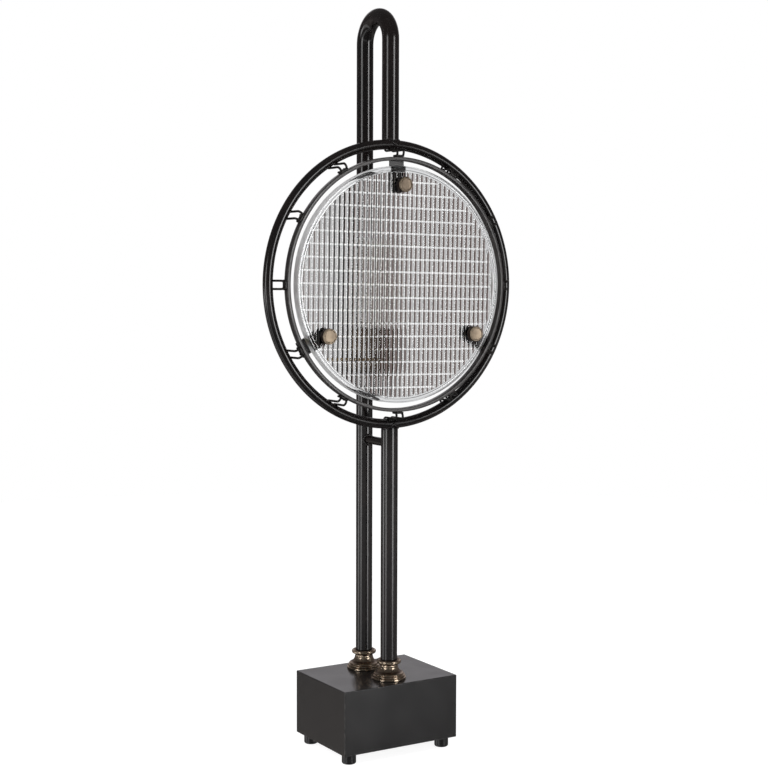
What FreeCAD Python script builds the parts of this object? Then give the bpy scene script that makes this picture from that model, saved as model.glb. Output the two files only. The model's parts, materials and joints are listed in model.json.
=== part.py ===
"""Tabletop searchlight lamp: weighted base, hairpin post, sprung lens ring and fluted glass.

The frame is millimetres with Z up. The origin is on the floor under the middle of the base,
the glass faces -Y, and the rear post stands on the +Y side of the front post.
"""
import FreeCAD, Part
import math
import os
import Sketcher

doc = FreeCAD.newDocument("searchlight_lamp")
dims = doc.addObject("Spreadsheet::Sheet", "dims")

# Driving dimensions, in millimetres, degrees and counts
SIZES = {
    # Whole lamp and base
    "overall_height": 838,
    "foot_height": 12,
    "foot_diameter": 16,
    "foot_inset": 12.5,
    "foot_edge": 2,
    "foot_recess_diameter": 9,
    "foot_recess_depth": 6,
    "foot_screw_diameter": 4,
    "foot_screw_head": 8,
    "foot_screw_head_height": 3,
    "foot_screw_length": 22,
    "block_width": 148,
    "block_depth": 112,
    "block_height": 72,
    "block_wall": 5,
    "block_top_wall": 6,
    "block_edge": 0.8,
    "block_boss_diameter": 18,
    "plate_thickness": 2,
    "plate_ledge": 2.5,
    "plate_clearance": 0.2,
    "ballast_width": 104,
    "ballast_depth": 70,
    "ballast_height": 30,
    "ballast_edge": 2,
    "ballast_screw_diameter": 6,
    "ballast_screw_head": 11,
    "ballast_screw_spacing": 60,
    "ballast_screw_length": 18,
    "bush_height": 32,
    "bush_bore": 7,
    "bush_barrel": 10,
    "bush_flange": 15,
    "bush_flange_thickness": 2,
    "bush_inner_length": 6,
    "bush_nut_width": 14,
    "bush_nut_thickness": 3,
    # Posts, collars and their fixings
    "post_diameter": 19,
    "post_wall": 1.5,
    "post_spacing": 55,
    "weld_gap": 0.05,
    "weld_plug": 6,
    "fit_clearance": 0.05,
    "stretcher_drop": 22.5,
    "stretcher_diameter": 9.5,
    "stretcher_weld": 1.4,
    "post_bush_height": 12,
    "nipple_diameter": 9.6,
    "nipple_bore": 6.4,
    "nipple_above": 12,
    "nipple_below": 12,
    "nipple_washer_diameter": 24,
    "nipple_washer_thickness": 2,
    "nipple_nut_width": 14,
    "nipple_nut_thickness": 5,
    "collar_height": 22,
    "collar_foot_diameter": 38,
    "collar_foot_edge": 1,
    "collar_flange_height": 4,
    "collar_groove_diameter": 32,
    "collar_groove_top": 4.6,
    "collar_step_inset": 0.8,
    "collar_step_height": 7,
    "collar_flare_diameter": 25.6,
    "collar_neck_diameter": 20.4,
    "collar_neck_height": 15,
    "collar_bead_height": 17,
    "collar_rim_diameter": 28.4,
    "collar_rim_edge": 1,
    "collar_rim_height": 19.6,
    "collar_mouth_diameter": 24.4,
    "collar_mouth_depth": 1.4,
    # Rings and spring clips
    "ring_level": 529.5,
    "ring_radius": 155,
    "ring_bar": 11,
    "ring_forward": 4,
    "ring_gap": 8.9,
    "inner_ring_thickness": 4,
    "inner_ring_depth": 8,
    "inner_ring_forward": 10,
    "inner_ring_edge": 0.6,
    "clip_count": 12,
    "clip_wire": 2.2,
    "clip_gauge": 8.6,
    "clip_gap": 0.1,
    "clip_tail": 8.5,
    "clip_tail_bend": 4,
    "clip_tail_hook": 1.2,
    "clip_reach": 14.2,
    "clip_return": 10.4,
    "clip_pad_width": 11.4,
    "clip_pad_depth": 7,
    "clip_pad_thickness": 2.4,
    # Glass, its brackets and its thumb knobs
    "glass_gap": 6.1,
    "glass_thickness": 10,
    "glass_margin": 6.5,
    "glass_edge": 1.2,
    "glass_hole": 8,
    "flute_pitch": 6,
    "flute_rise": 1.4,
    "row_pitch": 14.4,
    "row_rise": 1.6,
    "washer_diameter": 14,
    "washer_thickness": 1,
    "bracket_width": 18,
    "bracket_thickness": 2,
    "bracket_end": 9,
    "bracket_nose": 8,
    "stud_inset": 20.5,
    "stud_diameter": 5,
    "stud_nut_width": 8,
    "stud_nut_thickness": 4,
    "stud_beyond": 1,
    "stud_gap": 0.5,
    "knob_diameter": 17.5,
    "knob_thickness": 8,
    "knob_rim": 0.9,
    "knob_dish": 0.5,
    "knob_bore_depth": 6,
    "knurl_count": 36,
    "knurl_depth": 0.5,
    "knurl_land": 1.2,
    "knurl_width": 1,
    "cut_over": 0.1,
    # Lampholder, its arm, the switch key and the bulb
    "holder_forward": 3,
    "holder_level": 424,
    "arm_diameter": 8,
    "arm_bore": 5,
    "arm_bend": 11,
    "arm_drop": 18,
    "cap_neck_diameter": 13,
    "cap_neck_height": 5,
    "cap_diameter": 34,
    "cap_shoulder_height": 14,
    "cap_height": 20,
    "holder_wall": 0.8,
    "shell_diameter": 32,
    "shell_bottom": 15,
    "shell_top": 56,
    "shell_bead_bottom": 21,
    "shell_bead_top": 24,
    "shell_lip": 3,
    "sleeve_diameter": 30,
    "sleeve_bore": 29,
    "sleeve_bottom": 17,
    "sleeve_top": 55,
    "core_diameter": 28.6,
    "core_bottom": 15,
    "core_top": 28,
    "core_bevel": 2,
    "thread_shell_diameter": 28,
    "thread_shell_bore": 26.9,
    "thread_shell_top": 53,
    "thread_shell_opening": 13,
    "contact_width": 5,
    "contact_height": 2.2,
    "contact_taper": 1,
    "key_level": 22,
    "key_rod_diameter": 3,
    "key_hole_diameter": 5,
    "key_rod_depth": 8,
    "key_rod_reach": 38,
    "key_grip_overlap": 2,
    "key_grip_edge": 1,
    "key_grip_length": 13,
    "key_grip_width": 11,
    "key_grip_thickness": 4,
    "bulb_cap_diameter": 26.3,
    "bulb_cap_height": 22,
    "bulb_cap_bevel": 4,
    "bulb_thread_start": 2,
    "bulb_thread_turns": 5,
    "bulb_thread_pitch": 3.6,
    "bulb_thread_depth": 0.8,
    "bulb_seat": 31.5,
    "bulb_tip_diameter": 9,
    "bulb_tip_height": 1,
    "bulb_glass_diameter": 32,
    "bulb_glass_height": 106,
    "bulb_neck_height": 14,
    "bulb_neck_inset": 1.5,
    "bulb_glass_wall": 0.8,
    "bulb_seal": 2,
    "bulb_stem_diameter": 7,
    "bulb_stem_height": 34,
    "bulb_stem_taper": 1.5,
    "filament_height": 62,
    "filament_wire": 1.2,
    "filament_spread": 12,
}

for row, (alias, number) in enumerate(SIZES.items(), start=1):
    dims.set(f"A{row}", str(number))
    dims.setAlias(f"A{row}", alias)
doc.recompute()

# Places that several pieces share, as expressions of the sheet
BLOCK_BOTTOM = "dims.foot_height"
BLOCK_TOP = "(dims.foot_height + dims.block_height)"
POST_Y = "(dims.post_spacing / 2)"
RING_Y = "(-dims.post_spacing / 2 - dims.ring_forward)"
STRETCHER_LEVEL = "(dims.ring_level - dims.ring_radius - dims.stretcher_drop)"
BEND_LEVEL = "(dims.overall_height - dims.post_spacing / 2 - dims.post_diameter / 2)"
# Radii about the lens axis, each stepped inward from the outer ring by its clearance
BAND_RADIUS = "(dims.ring_radius - dims.ring_bar / 2 - dims.ring_gap)"
GLASS_RADIUS = f"({BAND_RADIUS} - dims.inner_ring_thickness - dims.glass_gap)"
STUD_CIRCLE = f"({GLASS_RADIUS} - dims.stud_inset)"
# Levels along the lens axis, counted forward from the outer ring's plane
RING_BACK = "dims.inner_ring_forward"
ARM_BACK = "(dims.inner_ring_forward - dims.bracket_thickness)"
GLASS_BACK = "(dims.inner_ring_forward + dims.washer_thickness)"
GLASS_FRONT = f"({GLASS_BACK} + dims.glass_thickness)"
KNOB_BACK = f"({GLASS_FRONT} + dims.washer_thickness)"
PATTERN_RADIUS = f"({GLASS_RADIUS} - dims.glass_margin)"

BRACKET_ANGLES = {"top": 90, "left": 210, "right": 330}

# Heights of the outlines' arcs, as shares of half their chords
QUARTER_TURN = math.tan(math.radians(90) / 4)
HALF_TURN = 1.0
WELD_FLARE = -0.35
FLANGE_ARC = 0.3
STEP_ARC = 0.9
NECK_FLARE = -0.28
BEAD_ARC = 0.8
RIM_FLARE = -0.2
RIM_ARC = 0.7
CAP_DOME = 0.3
SHELL_LIP_ARC = 0.7
GRIP_ARC = 0.8

UPRIGHT = FreeCAD.Rotation()
FACING_FORWARD = FreeCAD.Rotation(FreeCAD.Vector(1, 0, 0), 90)
FACING_BACK = FreeCAD.Rotation(FreeCAD.Vector(1, 0, 0), -90)

nodes = []


def value(expression):
    """Number that an expression of the sheet gives."""
    return float(dims.evalExpression(str(expression)))


def node(thing, label):
    """Name a finished sub-part and list it for writing."""
    thing.Label = label
    nodes.append(thing)
    return thing


def place(thing, x="0", y="0", z="0", turn=UPRIGHT):
    """Put a sub-part's own origin at a place given by three expressions."""
    thing.Placement = FreeCAD.Placement(FreeCAD.Vector(value(x), value(y), value(z)), turn)
    for axis, expression in (("x", x), ("y", y), ("z", z)):
        thing.setExpression(f"Placement.Base.{axis}", expression)


def place_on_lens(thing, angle=0):
    """Put a sub-part made about the lens axis into the lamp, turned about that axis.

    Own X then points along the radius at the angle, and own Z points forward.
    """
    turn = FACING_FORWARD.multiply(FreeCAD.Rotation(FreeCAD.Vector(0, 0, 1), angle))
    place(thing, "0", RING_Y, "dims.ring_level", turn)


def new_body(name):
    """PartDesign body for one sub-part."""
    return doc.addObject("PartDesign::Body", name)


def datum(body, role):
    """Origin plane or axis of a body, by its role."""
    for feature in body.Origin.OriginFeatures:
        if feature.Role == role:
            return feature
    raise ValueError(role)


def new_sketch(body, name, plane="XY_Plane", offset=None):
    """Sketch on one of a body's origin planes, raised off it by an expression."""
    sketch = body.newObject("Sketcher::SketchObject", name)
    sketch.AttachmentSupport = [(datum(body, plane), "")]
    sketch.MapMode = "FlatFace"
    if offset is not None:
        sketch.AttachmentOffset = FreeCAD.Placement(
            FreeCAD.Vector(0, 0, value(offset)), FreeCAD.Rotation()
        )
        sketch.setExpression("AttachmentOffset.Base.z", offset)
    return sketch


def bind_point(sketch, geometry, end, across, up):
    """Tie one point of a sketch's geometry to two expressions."""
    for kind, expression in (("DistanceX", across), ("DistanceY", up)):
        number = value(expression)
        if abs(number) < 1e-9:
            on_axis = -2 if kind == "DistanceX" else -1
            sketch.addConstraint(Sketcher.Constraint("PointOnObject", geometry, end, on_axis))
            continue
        index = sketch.addConstraint(
            Sketcher.Constraint(kind, -1, 1, geometry, end, number)
        )
        sketch.setExpression(f"Constraints[{index}]", expression)


def outline(sketch, corners, closed=True):
    """Line and arc outline through corners given as (across, up) or (across, up, bulge).

    A bulge is the height of the arc from the chord to the next corner, as a share of half
    that chord; it is positive to the right of the way of travel. 1 is a half circle.
    """
    points = [FreeCAD.Vector(value(c[0]), value(c[1]), 0) for c in corners]
    count = len(points) if closed else len(points) - 1
    made = []
    for i in range(count):
        start = points[i]
        end = points[(i + 1) % len(points)]
        if len(corners[i]) < 3:
            made.append((sketch.addGeometry(Part.LineSegment(start, end)), 1, 2))
            continue
        bulge = corners[i][2]
        chord = end - start
        side = FreeCAD.Vector(chord.y, -chord.x, 0)
        middle = (start + end) * 0.5 + side * (0.5 * bulge)
        # A sketch keeps its arcs anticlockwise
        if bulge > 0:
            made.append((sketch.addGeometry(Part.Arc(start, middle, end)), 1, 2))
        else:
            made.append((sketch.addGeometry(Part.Arc(end, middle, start)), 2, 1))
    for i, (index, first, last) in enumerate(made):
        bind_point(sketch, index, first, corners[i][0], corners[i][1])
        if closed or i + 1 < count:
            after = made[(i + 1) % len(made)]
            sketch.addConstraint(
                Sketcher.Constraint("Coincident", index, last, after[0], after[1])
            )
        else:
            bind_point(sketch, index, last, corners[i + 1][0], corners[i + 1][1])
        if len(corners[i]) > 2:
            bind_arc(sketch, index, corners[i], corners[(i + 1) % len(corners)])


def bind_arc(sketch, index, corner, ahead):
    """Tie an arc's roundness.

    A half circle has its centre level with its ends, and any other arc has its radius worked
    out from its chord.
    """
    bulge = abs(corner[2])
    if bulge == 1:
        level = f"(({corner[1]}) + ({ahead[1]})) / 2"
        middle = sketch.addConstraint(
            Sketcher.Constraint("DistanceY", -1, 1, index, 3, value(level))
        )
        sketch.setExpression(f"Constraints[{middle}]", level)
        return
    radius = sketch.Geometry[index].Radius
    size = sketch.addConstraint(Sketcher.Constraint("Radius", index, radius))
    across = f"(({ahead[0]}) - ({corner[0]}))"
    up = f"(({ahead[1]}) - ({corner[1]}))"
    share = (1 + bulge * bulge) / (4 * bulge)
    sketch.setExpression(f"Constraints[{size}]", f"sqrt({across} ^ 2 + {up} ^ 2) * {share:.12f}")


def rectangle(sketch, width, depth):
    """Rectangle about a sketch's origin."""
    half_x, half_y = f"({width}) / 2", f"({depth}) / 2"
    outline(
        sketch,
        [
            (f"-({half_x})", f"-({half_y})"),
            (half_x, f"-({half_y})"),
            (half_x, half_y),
            (f"-({half_x})", half_y),
        ],
    )


def circle(sketch, diameter, across="0", up="0"):
    """Circle of a diameter about a place in a sketch."""
    centre = FreeCAD.Vector(value(across), value(up), 0)
    index = sketch.addGeometry(Part.Circle(centre, FreeCAD.Vector(0, 0, 1), value(diameter) / 2))
    bind_point(sketch, index, 3, across, up)
    size = sketch.addConstraint(Sketcher.Constraint("Diameter", index, value(diameter)))
    sketch.setExpression(f"Constraints[{size}]", diameter)
    return index


def pad(body, name, sketch, length, midplane=False, reverse=False):
    """Pad a sketch by an expression."""
    feature = body.newObject("PartDesign::Pad", name)
    feature.Profile = sketch
    feature.Length = value(length)
    feature.setExpression("Length", length)
    feature.Midplane = midplane
    feature.Reversed = reverse
    return feature


def pocket(body, name, sketch, length, reverse=False, midplane=False):
    """Pocket a sketch by an expression and check that it took something away."""
    doc.recompute()
    before = body.Shape.Volume
    feature = body.newObject("PartDesign::Pocket", name)
    feature.Profile = sketch
    feature.Length = value(length)
    feature.setExpression("Length", length)
    feature.Midplane = midplane
    feature.Reversed = reverse
    doc.recompute()
    if feature.Shape.Volume >= before - 1e-6:
        raise ValueError(f"{name} cuts nothing")
    return feature


def turned(body, name, corners, kind="PartDesign::Revolution", plane="XZ_Plane"):
    """Turn an outline of (radius, height) corners about the body's Z axis."""
    sketch = new_sketch(body, name + "_profile", plane)
    outline(sketch, corners)
    feature = body.newObject(kind, name)
    feature.Profile = sketch
    feature.ReferenceAxis = (sketch, ["V_Axis"])
    feature.Angle = 360
    return feature


def polar(body, name, features, count):
    """Repeat features evenly about the body's Z axis."""
    pattern = body.newObject("PartDesign::PolarPattern", name)
    pattern.Originals = features
    pattern.Axis = (datum(body, "Z_Axis"), [""])
    pattern.Angle = 360
    pattern.Occurrences = int(value(count))
    pattern.setExpression("Occurrences", count)
    body.Tip = pattern
    return pattern


def dress(body, kind, name, size, choose, property_name):
    """Fillet or chamfer the edges of the body's tip that a test chooses."""
    doc.recompute()
    tip = body.Tip
    edges = [f"Edge{i}" for i, edge in enumerate(tip.Shape.Edges, start=1) if choose(edge)]
    if not edges:
        raise ValueError(f"{name} finds no edge")
    feature = body.newObject(kind, name)
    feature.Base = (tip, edges)
    setattr(feature, property_name, value(size))
    feature.setExpression(property_name, size)
    return feature


def fillet(body, name, radius, choose):
    """Round the chosen edges of a body."""
    return dress(body, "PartDesign::Fillet", name, radius, choose, "Radius")


def chamfer(body, name, size, choose):
    """Bevel the chosen edges of a body."""
    return dress(body, "PartDesign::Chamfer", name, size, choose, "Size")


def pipe(body, name, path, section):
    """Carry a section along a path sketch."""
    feature = body.newObject("PartDesign::AdditivePipe", name)
    feature.Profile = section
    feature.Spine = path
    return feature


def upright_edge(edge):
    """True for a straight edge along the body's own Z."""
    box = edge.BoundBox
    return box.XLength < 1e-6 and box.YLength < 1e-6


def at_level(level):
    """Test for edges that lie flat at one level of the body's own Z."""

    def test(edge):
        box = edge.BoundBox
        return box.ZLength < 1e-6 and abs(box.ZMin - level) < 1e-6

    return test


def gathered(label, shapes):
    """Sub-part of several loose solids that are alike."""
    thing = doc.addObject("Part::Feature", label)
    thing.Shape = Part.makeCompound(shapes)
    return node(thing, label)


def corners_of(inset_x, inset_y):
    """The four corners of a rectangle about the origin."""
    return [
        FreeCAD.Vector(side_x * inset_x, side_y * inset_y, 0)
        for side_x in (-1, 1)
        for side_y in (-1, 1)
    ]


def moved_copies(shape, places):
    """Copies of a shape moved to several places."""
    copies = []
    for spot in places:
        copy = shape.copy()
        copy.translate(spot)
        copies.append(copy)
    return copies


def hexagon(width, thickness):
    """Hexagonal prism of a width across flats, from its own origin up."""
    radius = width / math.sqrt(3)
    points = [
        FreeCAD.Vector(radius * math.cos(math.radians(a)), radius * math.sin(math.radians(a)), 0)
        for a in range(0, 361, 60)
    ]
    return Part.Face(Part.makePolygon(points)).extrude(FreeCAD.Vector(0, 0, thickness))


# Base: block, bottom plate, ballast and feet
FOOT_X = "(dims.block_width / 2 - dims.foot_inset)"
FOOT_Y = "(dims.block_depth / 2 - dims.foot_inset)"


def make_block():
    """Open-bottomed box with a boss in each corner for the feet's screws."""
    body = new_body("base_block")
    outside = new_sketch(body, "block_outside")
    rectangle(outside, "dims.block_width", "dims.block_depth")
    pad(body, "block_pad", outside, "dims.block_height")
    fillet(body, "block_corners", "dims.block_edge", upright_edge)
    fillet(body, "block_rim", "dims.block_edge", at_level(value("dims.block_height")))
    inside = new_sketch(body, "block_inside")
    wall = "2 * dims.block_wall"
    rectangle(inside, f"dims.block_width - {wall}", f"dims.block_depth - {wall}")
    depth = "dims.block_height - dims.block_top_wall"
    pocket(body, "block_hollow", inside, depth, reverse=True)
    boss = new_sketch(body, "boss_circles", offset="dims.plate_thickness")
    for sign_x in ("", "-"):
        for sign_y in ("", "-"):
            circle(boss, "dims.block_boss_diameter", sign_x + FOOT_X, sign_y + FOOT_Y)
    pad(body, "bosses", boss, f"{depth} - dims.plate_thickness + dims.block_top_wall / 2")
    ledge = new_sketch(body, "plate_ledge")
    lip = "2 * (dims.block_wall - dims.plate_ledge)"
    rectangle(ledge, f"dims.block_width - {lip}", f"dims.block_depth - {lip}")
    pocket(body, "plate_rebate", ledge, "dims.plate_thickness", reverse=True)
    screws = new_sketch(body, "boss_holes")
    for sign_x in ("", "-"):
        for sign_y in ("", "-"):
            hole = "dims.foot_screw_diameter + 2 * dims.fit_clearance"
            circle(screws, hole, sign_x + FOOT_X, sign_y + FOOT_Y)
    pocket(body, "screw_holes", screws, "dims.foot_screw_length", reverse=True)
    top = new_sketch(body, "nipple_holes", offset="dims.block_height")
    for sign in ("", "-"):
        circle(top, "dims.nipple_diameter + 2 * dims.fit_clearance", "0", sign + POST_Y)
    pocket(body, "post_holes", top, "dims.block_top_wall")
    back = new_sketch(body, "bush_hole", "XZ_Plane", "-dims.block_depth / 2")
    circle(
        back,
        "dims.bush_barrel + 2 * dims.fit_clearance",
        "0",
        "dims.bush_height - dims.foot_height",
    )
    pocket(body, "cord_hole", back, "2 * dims.block_wall", midplane=True)
    place(body, z=BLOCK_BOTTOM)
    return node(body, "base_block")


def make_plate():
    """Bottom plate in the block's rebate, with holes for the feet's and ballast's screws."""
    body = new_body("base_plate")
    sheet = new_sketch(body, "plate_outline")
    margin = "2 * (dims.block_wall - dims.plate_ledge + dims.plate_clearance)"
    rectangle(sheet, f"dims.block_width - {margin}", f"dims.block_depth - {margin}")
    pad(body, "plate_pad", sheet, "dims.plate_thickness")
    holes = new_sketch(body, "plate_holes")
    for sign_x in ("", "-"):
        for sign_y in ("", "-"):
            hole = "dims.foot_screw_diameter + 2 * dims.fit_clearance"
            circle(holes, hole, sign_x + FOOT_X, sign_y + FOOT_Y)
        spot = sign_x + "dims.ballast_screw_spacing / 2"
        circle(holes, "dims.ballast_screw_head + 2 * dims.fit_clearance", spot, "0")
    pocket(body, "plate_drilling", holes, "dims.plate_thickness", reverse=True)
    place(body, z=BLOCK_BOTTOM)
    return node(body, "base_plate")


def make_ballast():
    """Steel slab that lies on the bottom plate, drilled for its two screws."""
    body = new_body("ballast_weight")
    slab = new_sketch(body, "slab")
    rectangle(slab, "dims.ballast_width", "dims.ballast_depth")
    pad(body, "slab_pad", slab, "dims.ballast_height")
    chamfer(body, "slab_edges", "dims.ballast_edge", upright_edge)
    holes = new_sketch(body, "slab_holes")
    for sign in ("", "-"):
        hole = "dims.ballast_screw_diameter + 2 * dims.fit_clearance"
        circle(holes, hole, sign + "dims.ballast_screw_spacing / 2", "0")
    pocket(body, "slab_drilling", holes, "dims.ballast_screw_length", reverse=True)
    place(body, z=f"{BLOCK_BOTTOM} + dims.plate_thickness")
    return node(body, "ballast_weight")


def make_ballast_screws():
    """Two flat-headed screws, up through the plate into the slab."""
    head = Part.makeCylinder(value("dims.ballast_screw_head / 2"), value("dims.plate_thickness"))
    shank = Part.makeCylinder(
        value("dims.ballast_screw_diameter / 2"), value("dims.ballast_screw_length")
    )
    reach = value("dims.ballast_screw_spacing / 2")
    level = value(BLOCK_BOTTOM)
    spots = [FreeCAD.Vector(side * reach, 0, level) for side in (-1, 1)]
    return gathered("ballast_screws", moved_copies(head.fuse(shank).removeSplitter(), spots))


def make_feet():
    """Four turned rubber feet, each with a recess for its screw's head."""
    outer = value("dims.foot_diameter / 2")
    tall = value("dims.foot_height")
    foot = Part.makeCylinder(outer, tall)
    low_edge = [e for e in foot.Edges if e.BoundBox.ZMax < 1e-6]
    foot = foot.makeFillet(value("dims.foot_edge"), low_edge)
    recess = Part.makeCylinder(
        value("dims.foot_recess_diameter / 2"), value("dims.foot_recess_depth")
    )
    bore = Part.makeCylinder(value("dims.foot_screw_diameter / 2 + dims.fit_clearance"), tall)
    foot = foot.cut(recess).cut(bore)
    return gathered("feet", moved_copies(foot, corners_of(value(FOOT_X), value(FOOT_Y))))


def make_foot_screws():
    """Four pan-headed screws, up through the feet and the plate into the bosses."""
    recess = value("dims.foot_recess_depth")
    head_height = value("dims.foot_screw_head_height")
    head = Part.makeCylinder(
        value("dims.foot_screw_head / 2"), head_height, FreeCAD.Vector(0, 0, recess - head_height)
    )
    rim = [e for e in head.Edges if abs(e.BoundBox.ZMax - (recess - head_height)) < 1e-6]
    head = head.makeFillet(head_height / 2, rim)
    shank = Part.makeCylinder(
        value("dims.foot_screw_diameter / 2"),
        value("dims.foot_screw_length"),
        FreeCAD.Vector(0, 0, recess),
    )
    screw = head.fuse(shank).removeSplitter()
    return gathered("foot_screws", moved_copies(screw, corners_of(value(FOOT_X), value(FOOT_Y))))


def make_bush():
    """Flanged bush in the block's back wall, for the cord to leave by."""
    body = new_body("cord_bush")
    bore = "dims.bush_bore / 2"
    barrel = "dims.bush_barrel / 2"
    flange = "dims.bush_flange / 2"
    inner = "-(dims.block_wall + dims.bush_inner_length)"
    turned(
        body,
        "bush",
        [
            (bore, inner),
            (barrel, inner),
            (barrel, "0"),
            (flange, "0"),
            (flange, "dims.bush_flange_thickness"),
            (bore, "dims.bush_flange_thickness"),
        ],
    )
    chamfer(
        body,
        "bush_edge",
        "dims.bush_flange_thickness / 3",
        at_level(value("dims.bush_flange_thickness")),
    )
    place(body, y="dims.block_depth / 2", z="dims.bush_height", turn=FACING_BACK)
    return node(body, "cord_bush")


def make_bush_nut():
    """Hexagonal nut that holds the bush from inside the block."""
    thick = value("dims.bush_nut_thickness")
    nut = hexagon(value("dims.bush_nut_width"), thick)
    nut = nut.cut(Part.makeCylinder(value("dims.bush_barrel / 2 + dims.fit_clearance"), thick))
    thing = doc.addObject("Part::Feature", "bush_nut")
    thing.Shape = nut
    inner_face = "dims.block_depth / 2 - dims.block_wall"
    place(thing, y=f"{inner_face} - dims.bush_nut_thickness", z="dims.bush_height", turn=FACING_BACK)
    return node(thing, "bush_nut")


# Posts, their collars and fixings
def make_hairpin():
    """Rear post bent over into the short front limb, coped onto the outer ring.

    The tube's section is carried along a line, a half circle and a line in the YZ plane.
    """
    body = new_body("hairpin_tube")
    path = new_sketch(body, "hairpin_path", "YZ_Plane")
    limb_end = "dims.ring_level + dims.ring_radius"
    outline(
        path,
        [
            (POST_Y, BLOCK_TOP),
            (POST_Y, BEND_LEVEL, HALF_TURN),
            (f"-{POST_Y}", BEND_LEVEL),
            (f"-{POST_Y}", limb_end),
        ],
        closed=False,
    )
    section = new_sketch(body, "tube_section", "XY_Plane", BLOCK_TOP)
    circle(section, "dims.post_diameter", "0", POST_Y)
    circle(section, "dims.post_diameter - 2 * dims.post_wall", "0", POST_Y)
    pipe(body, "bent_tube", path, section)
    plug = new_sketch(body, "plug_circle", "XY_Plane", limb_end)
    circle(plug, "dims.post_diameter - dims.post_wall", "0", f"-{POST_Y}")
    pad(body, "weld_plug", plug, "dims.weld_plug + dims.ring_bar / 2")
    hole = new_sketch(body, "arm_hole", "XZ_Plane", "0")
    circle(hole, "dims.arm_bore", "0", "dims.holder_level - dims.arm_drop")
    pocket(body, "arm_drilling", hole, POST_Y)
    return body


def cope_tool(name):
    """Solid ring that a tube's end is cut to fit, a weld's gap larger than the bar."""
    tool = doc.addObject("Part::Torus", name)
    tool.setExpression("Radius1", "dims.ring_radius")
    tool.setExpression("Radius2", "dims.ring_bar / 2 + dims.weld_gap")
    place_on_lens(tool)
    return tool


def coped(label, base, tools):
    """Sub-part cut to fit the pieces that it is welded to."""
    for i, tool in enumerate(tools):
        cut = doc.addObject("Part::Cut", f"{label}_cope_{i}")
        cut.Base = base
        cut.Tool = tool
        base = cut
    return node(base, label)


def make_front_post():
    """Straight tube from the base to the outer ring, closed where it meets the ring."""
    body = new_body("straight_tube")
    length = f"dims.ring_level - dims.ring_radius - {BLOCK_TOP}"
    section = new_sketch(body, "post_section")
    circle(section, "dims.post_diameter")
    pad(body, "post_pad", section, length)
    bore = new_sketch(body, "post_bore")
    circle(bore, "dims.post_diameter - 2 * dims.post_wall")
    bored = f"{length} - dims.ring_bar / 2 - dims.weld_plug"
    pocket(body, "post_boring", bore, bored, reverse=True)
    place(body, y=f"-{POST_Y}", z=BLOCK_TOP)
    return body


def make_stretcher():
    """Round tie between the posts, with a weld's flare at both ends, coped onto the tubes."""
    body = new_body("tie_bar")
    radius = "dims.stretcher_diameter / 2"
    weld = "(dims.stretcher_diameter / 2 + dims.stretcher_weld)"
    tube = "dims.post_diameter / 2"
    gap = f"({POST_Y} - {tube})"
    deep = f"({POST_Y} - {tube} / 2)"
    waist = f"({gap} - dims.stretcher_weld)"
    turned(
        body,
        "tie",
        [
            ("0", f"-{deep}"),
            (weld, f"-{deep}"),
            (weld, f"-{gap}", WELD_FLARE),
            (radius, f"-{waist}"),
            (radius, waist, WELD_FLARE),
            (weld, gap),
            (weld, deep),
            ("0", deep),
        ],
    )
    place(body, z=STRETCHER_LEVEL, turn=FACING_FORWARD)
    return body


def post_tool(name, y):
    """Upright cylinder that a tie is cut to fit."""
    tool = doc.addObject("Part::Cylinder", name)
    tool.setExpression("Radius", "dims.post_diameter / 2 + dims.weld_gap")
    tool.setExpression("Height", "4 * dims.post_diameter")
    place(tool, y=y, z=f"{STRETCHER_LEVEL} - 2 * dims.post_diameter")
    return tool


def make_collar(label, y):
    """Turned brass collar round the foot of a post.

    The profile climbs from a torus flange over a smaller step into a flared neck, a bead and
    a rim whose mouth slopes down to the tube.
    """
    body = new_body(label)
    bore = "dims.post_diameter / 2 + dims.fit_clearance"
    foot = "dims.collar_foot_diameter / 2"
    groove = "dims.collar_groove_diameter / 2"
    neck = "dims.collar_neck_diameter / 2"
    rim = "dims.collar_rim_diameter / 2 - dims.collar_rim_edge"
    turned(
        body,
        label + "_turning",
        [
            (bore, "0"),
            (foot, "0", FLANGE_ARC),
            (f"{foot} - dims.collar_foot_edge", "dims.collar_flange_height"),
            (groove, "dims.collar_flange_height"),
            (groove, "dims.collar_groove_top", STEP_ARC),
            (f"{groove} - dims.collar_step_inset", "dims.collar_step_height"),
            ("dims.collar_flare_diameter / 2", "dims.collar_step_height", NECK_FLARE),
            (neck, "dims.collar_neck_height", BEAD_ARC),
            (neck, "dims.collar_bead_height", RIM_FLARE),
            (rim, "dims.collar_rim_height", RIM_ARC),
            ("dims.collar_mouth_diameter / 2", "dims.collar_height"),
            (bore, "dims.collar_height - dims.collar_mouth_depth"),
        ],
    )
    place(body, y=y, z=BLOCK_TOP)
    return node(body, label)


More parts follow.
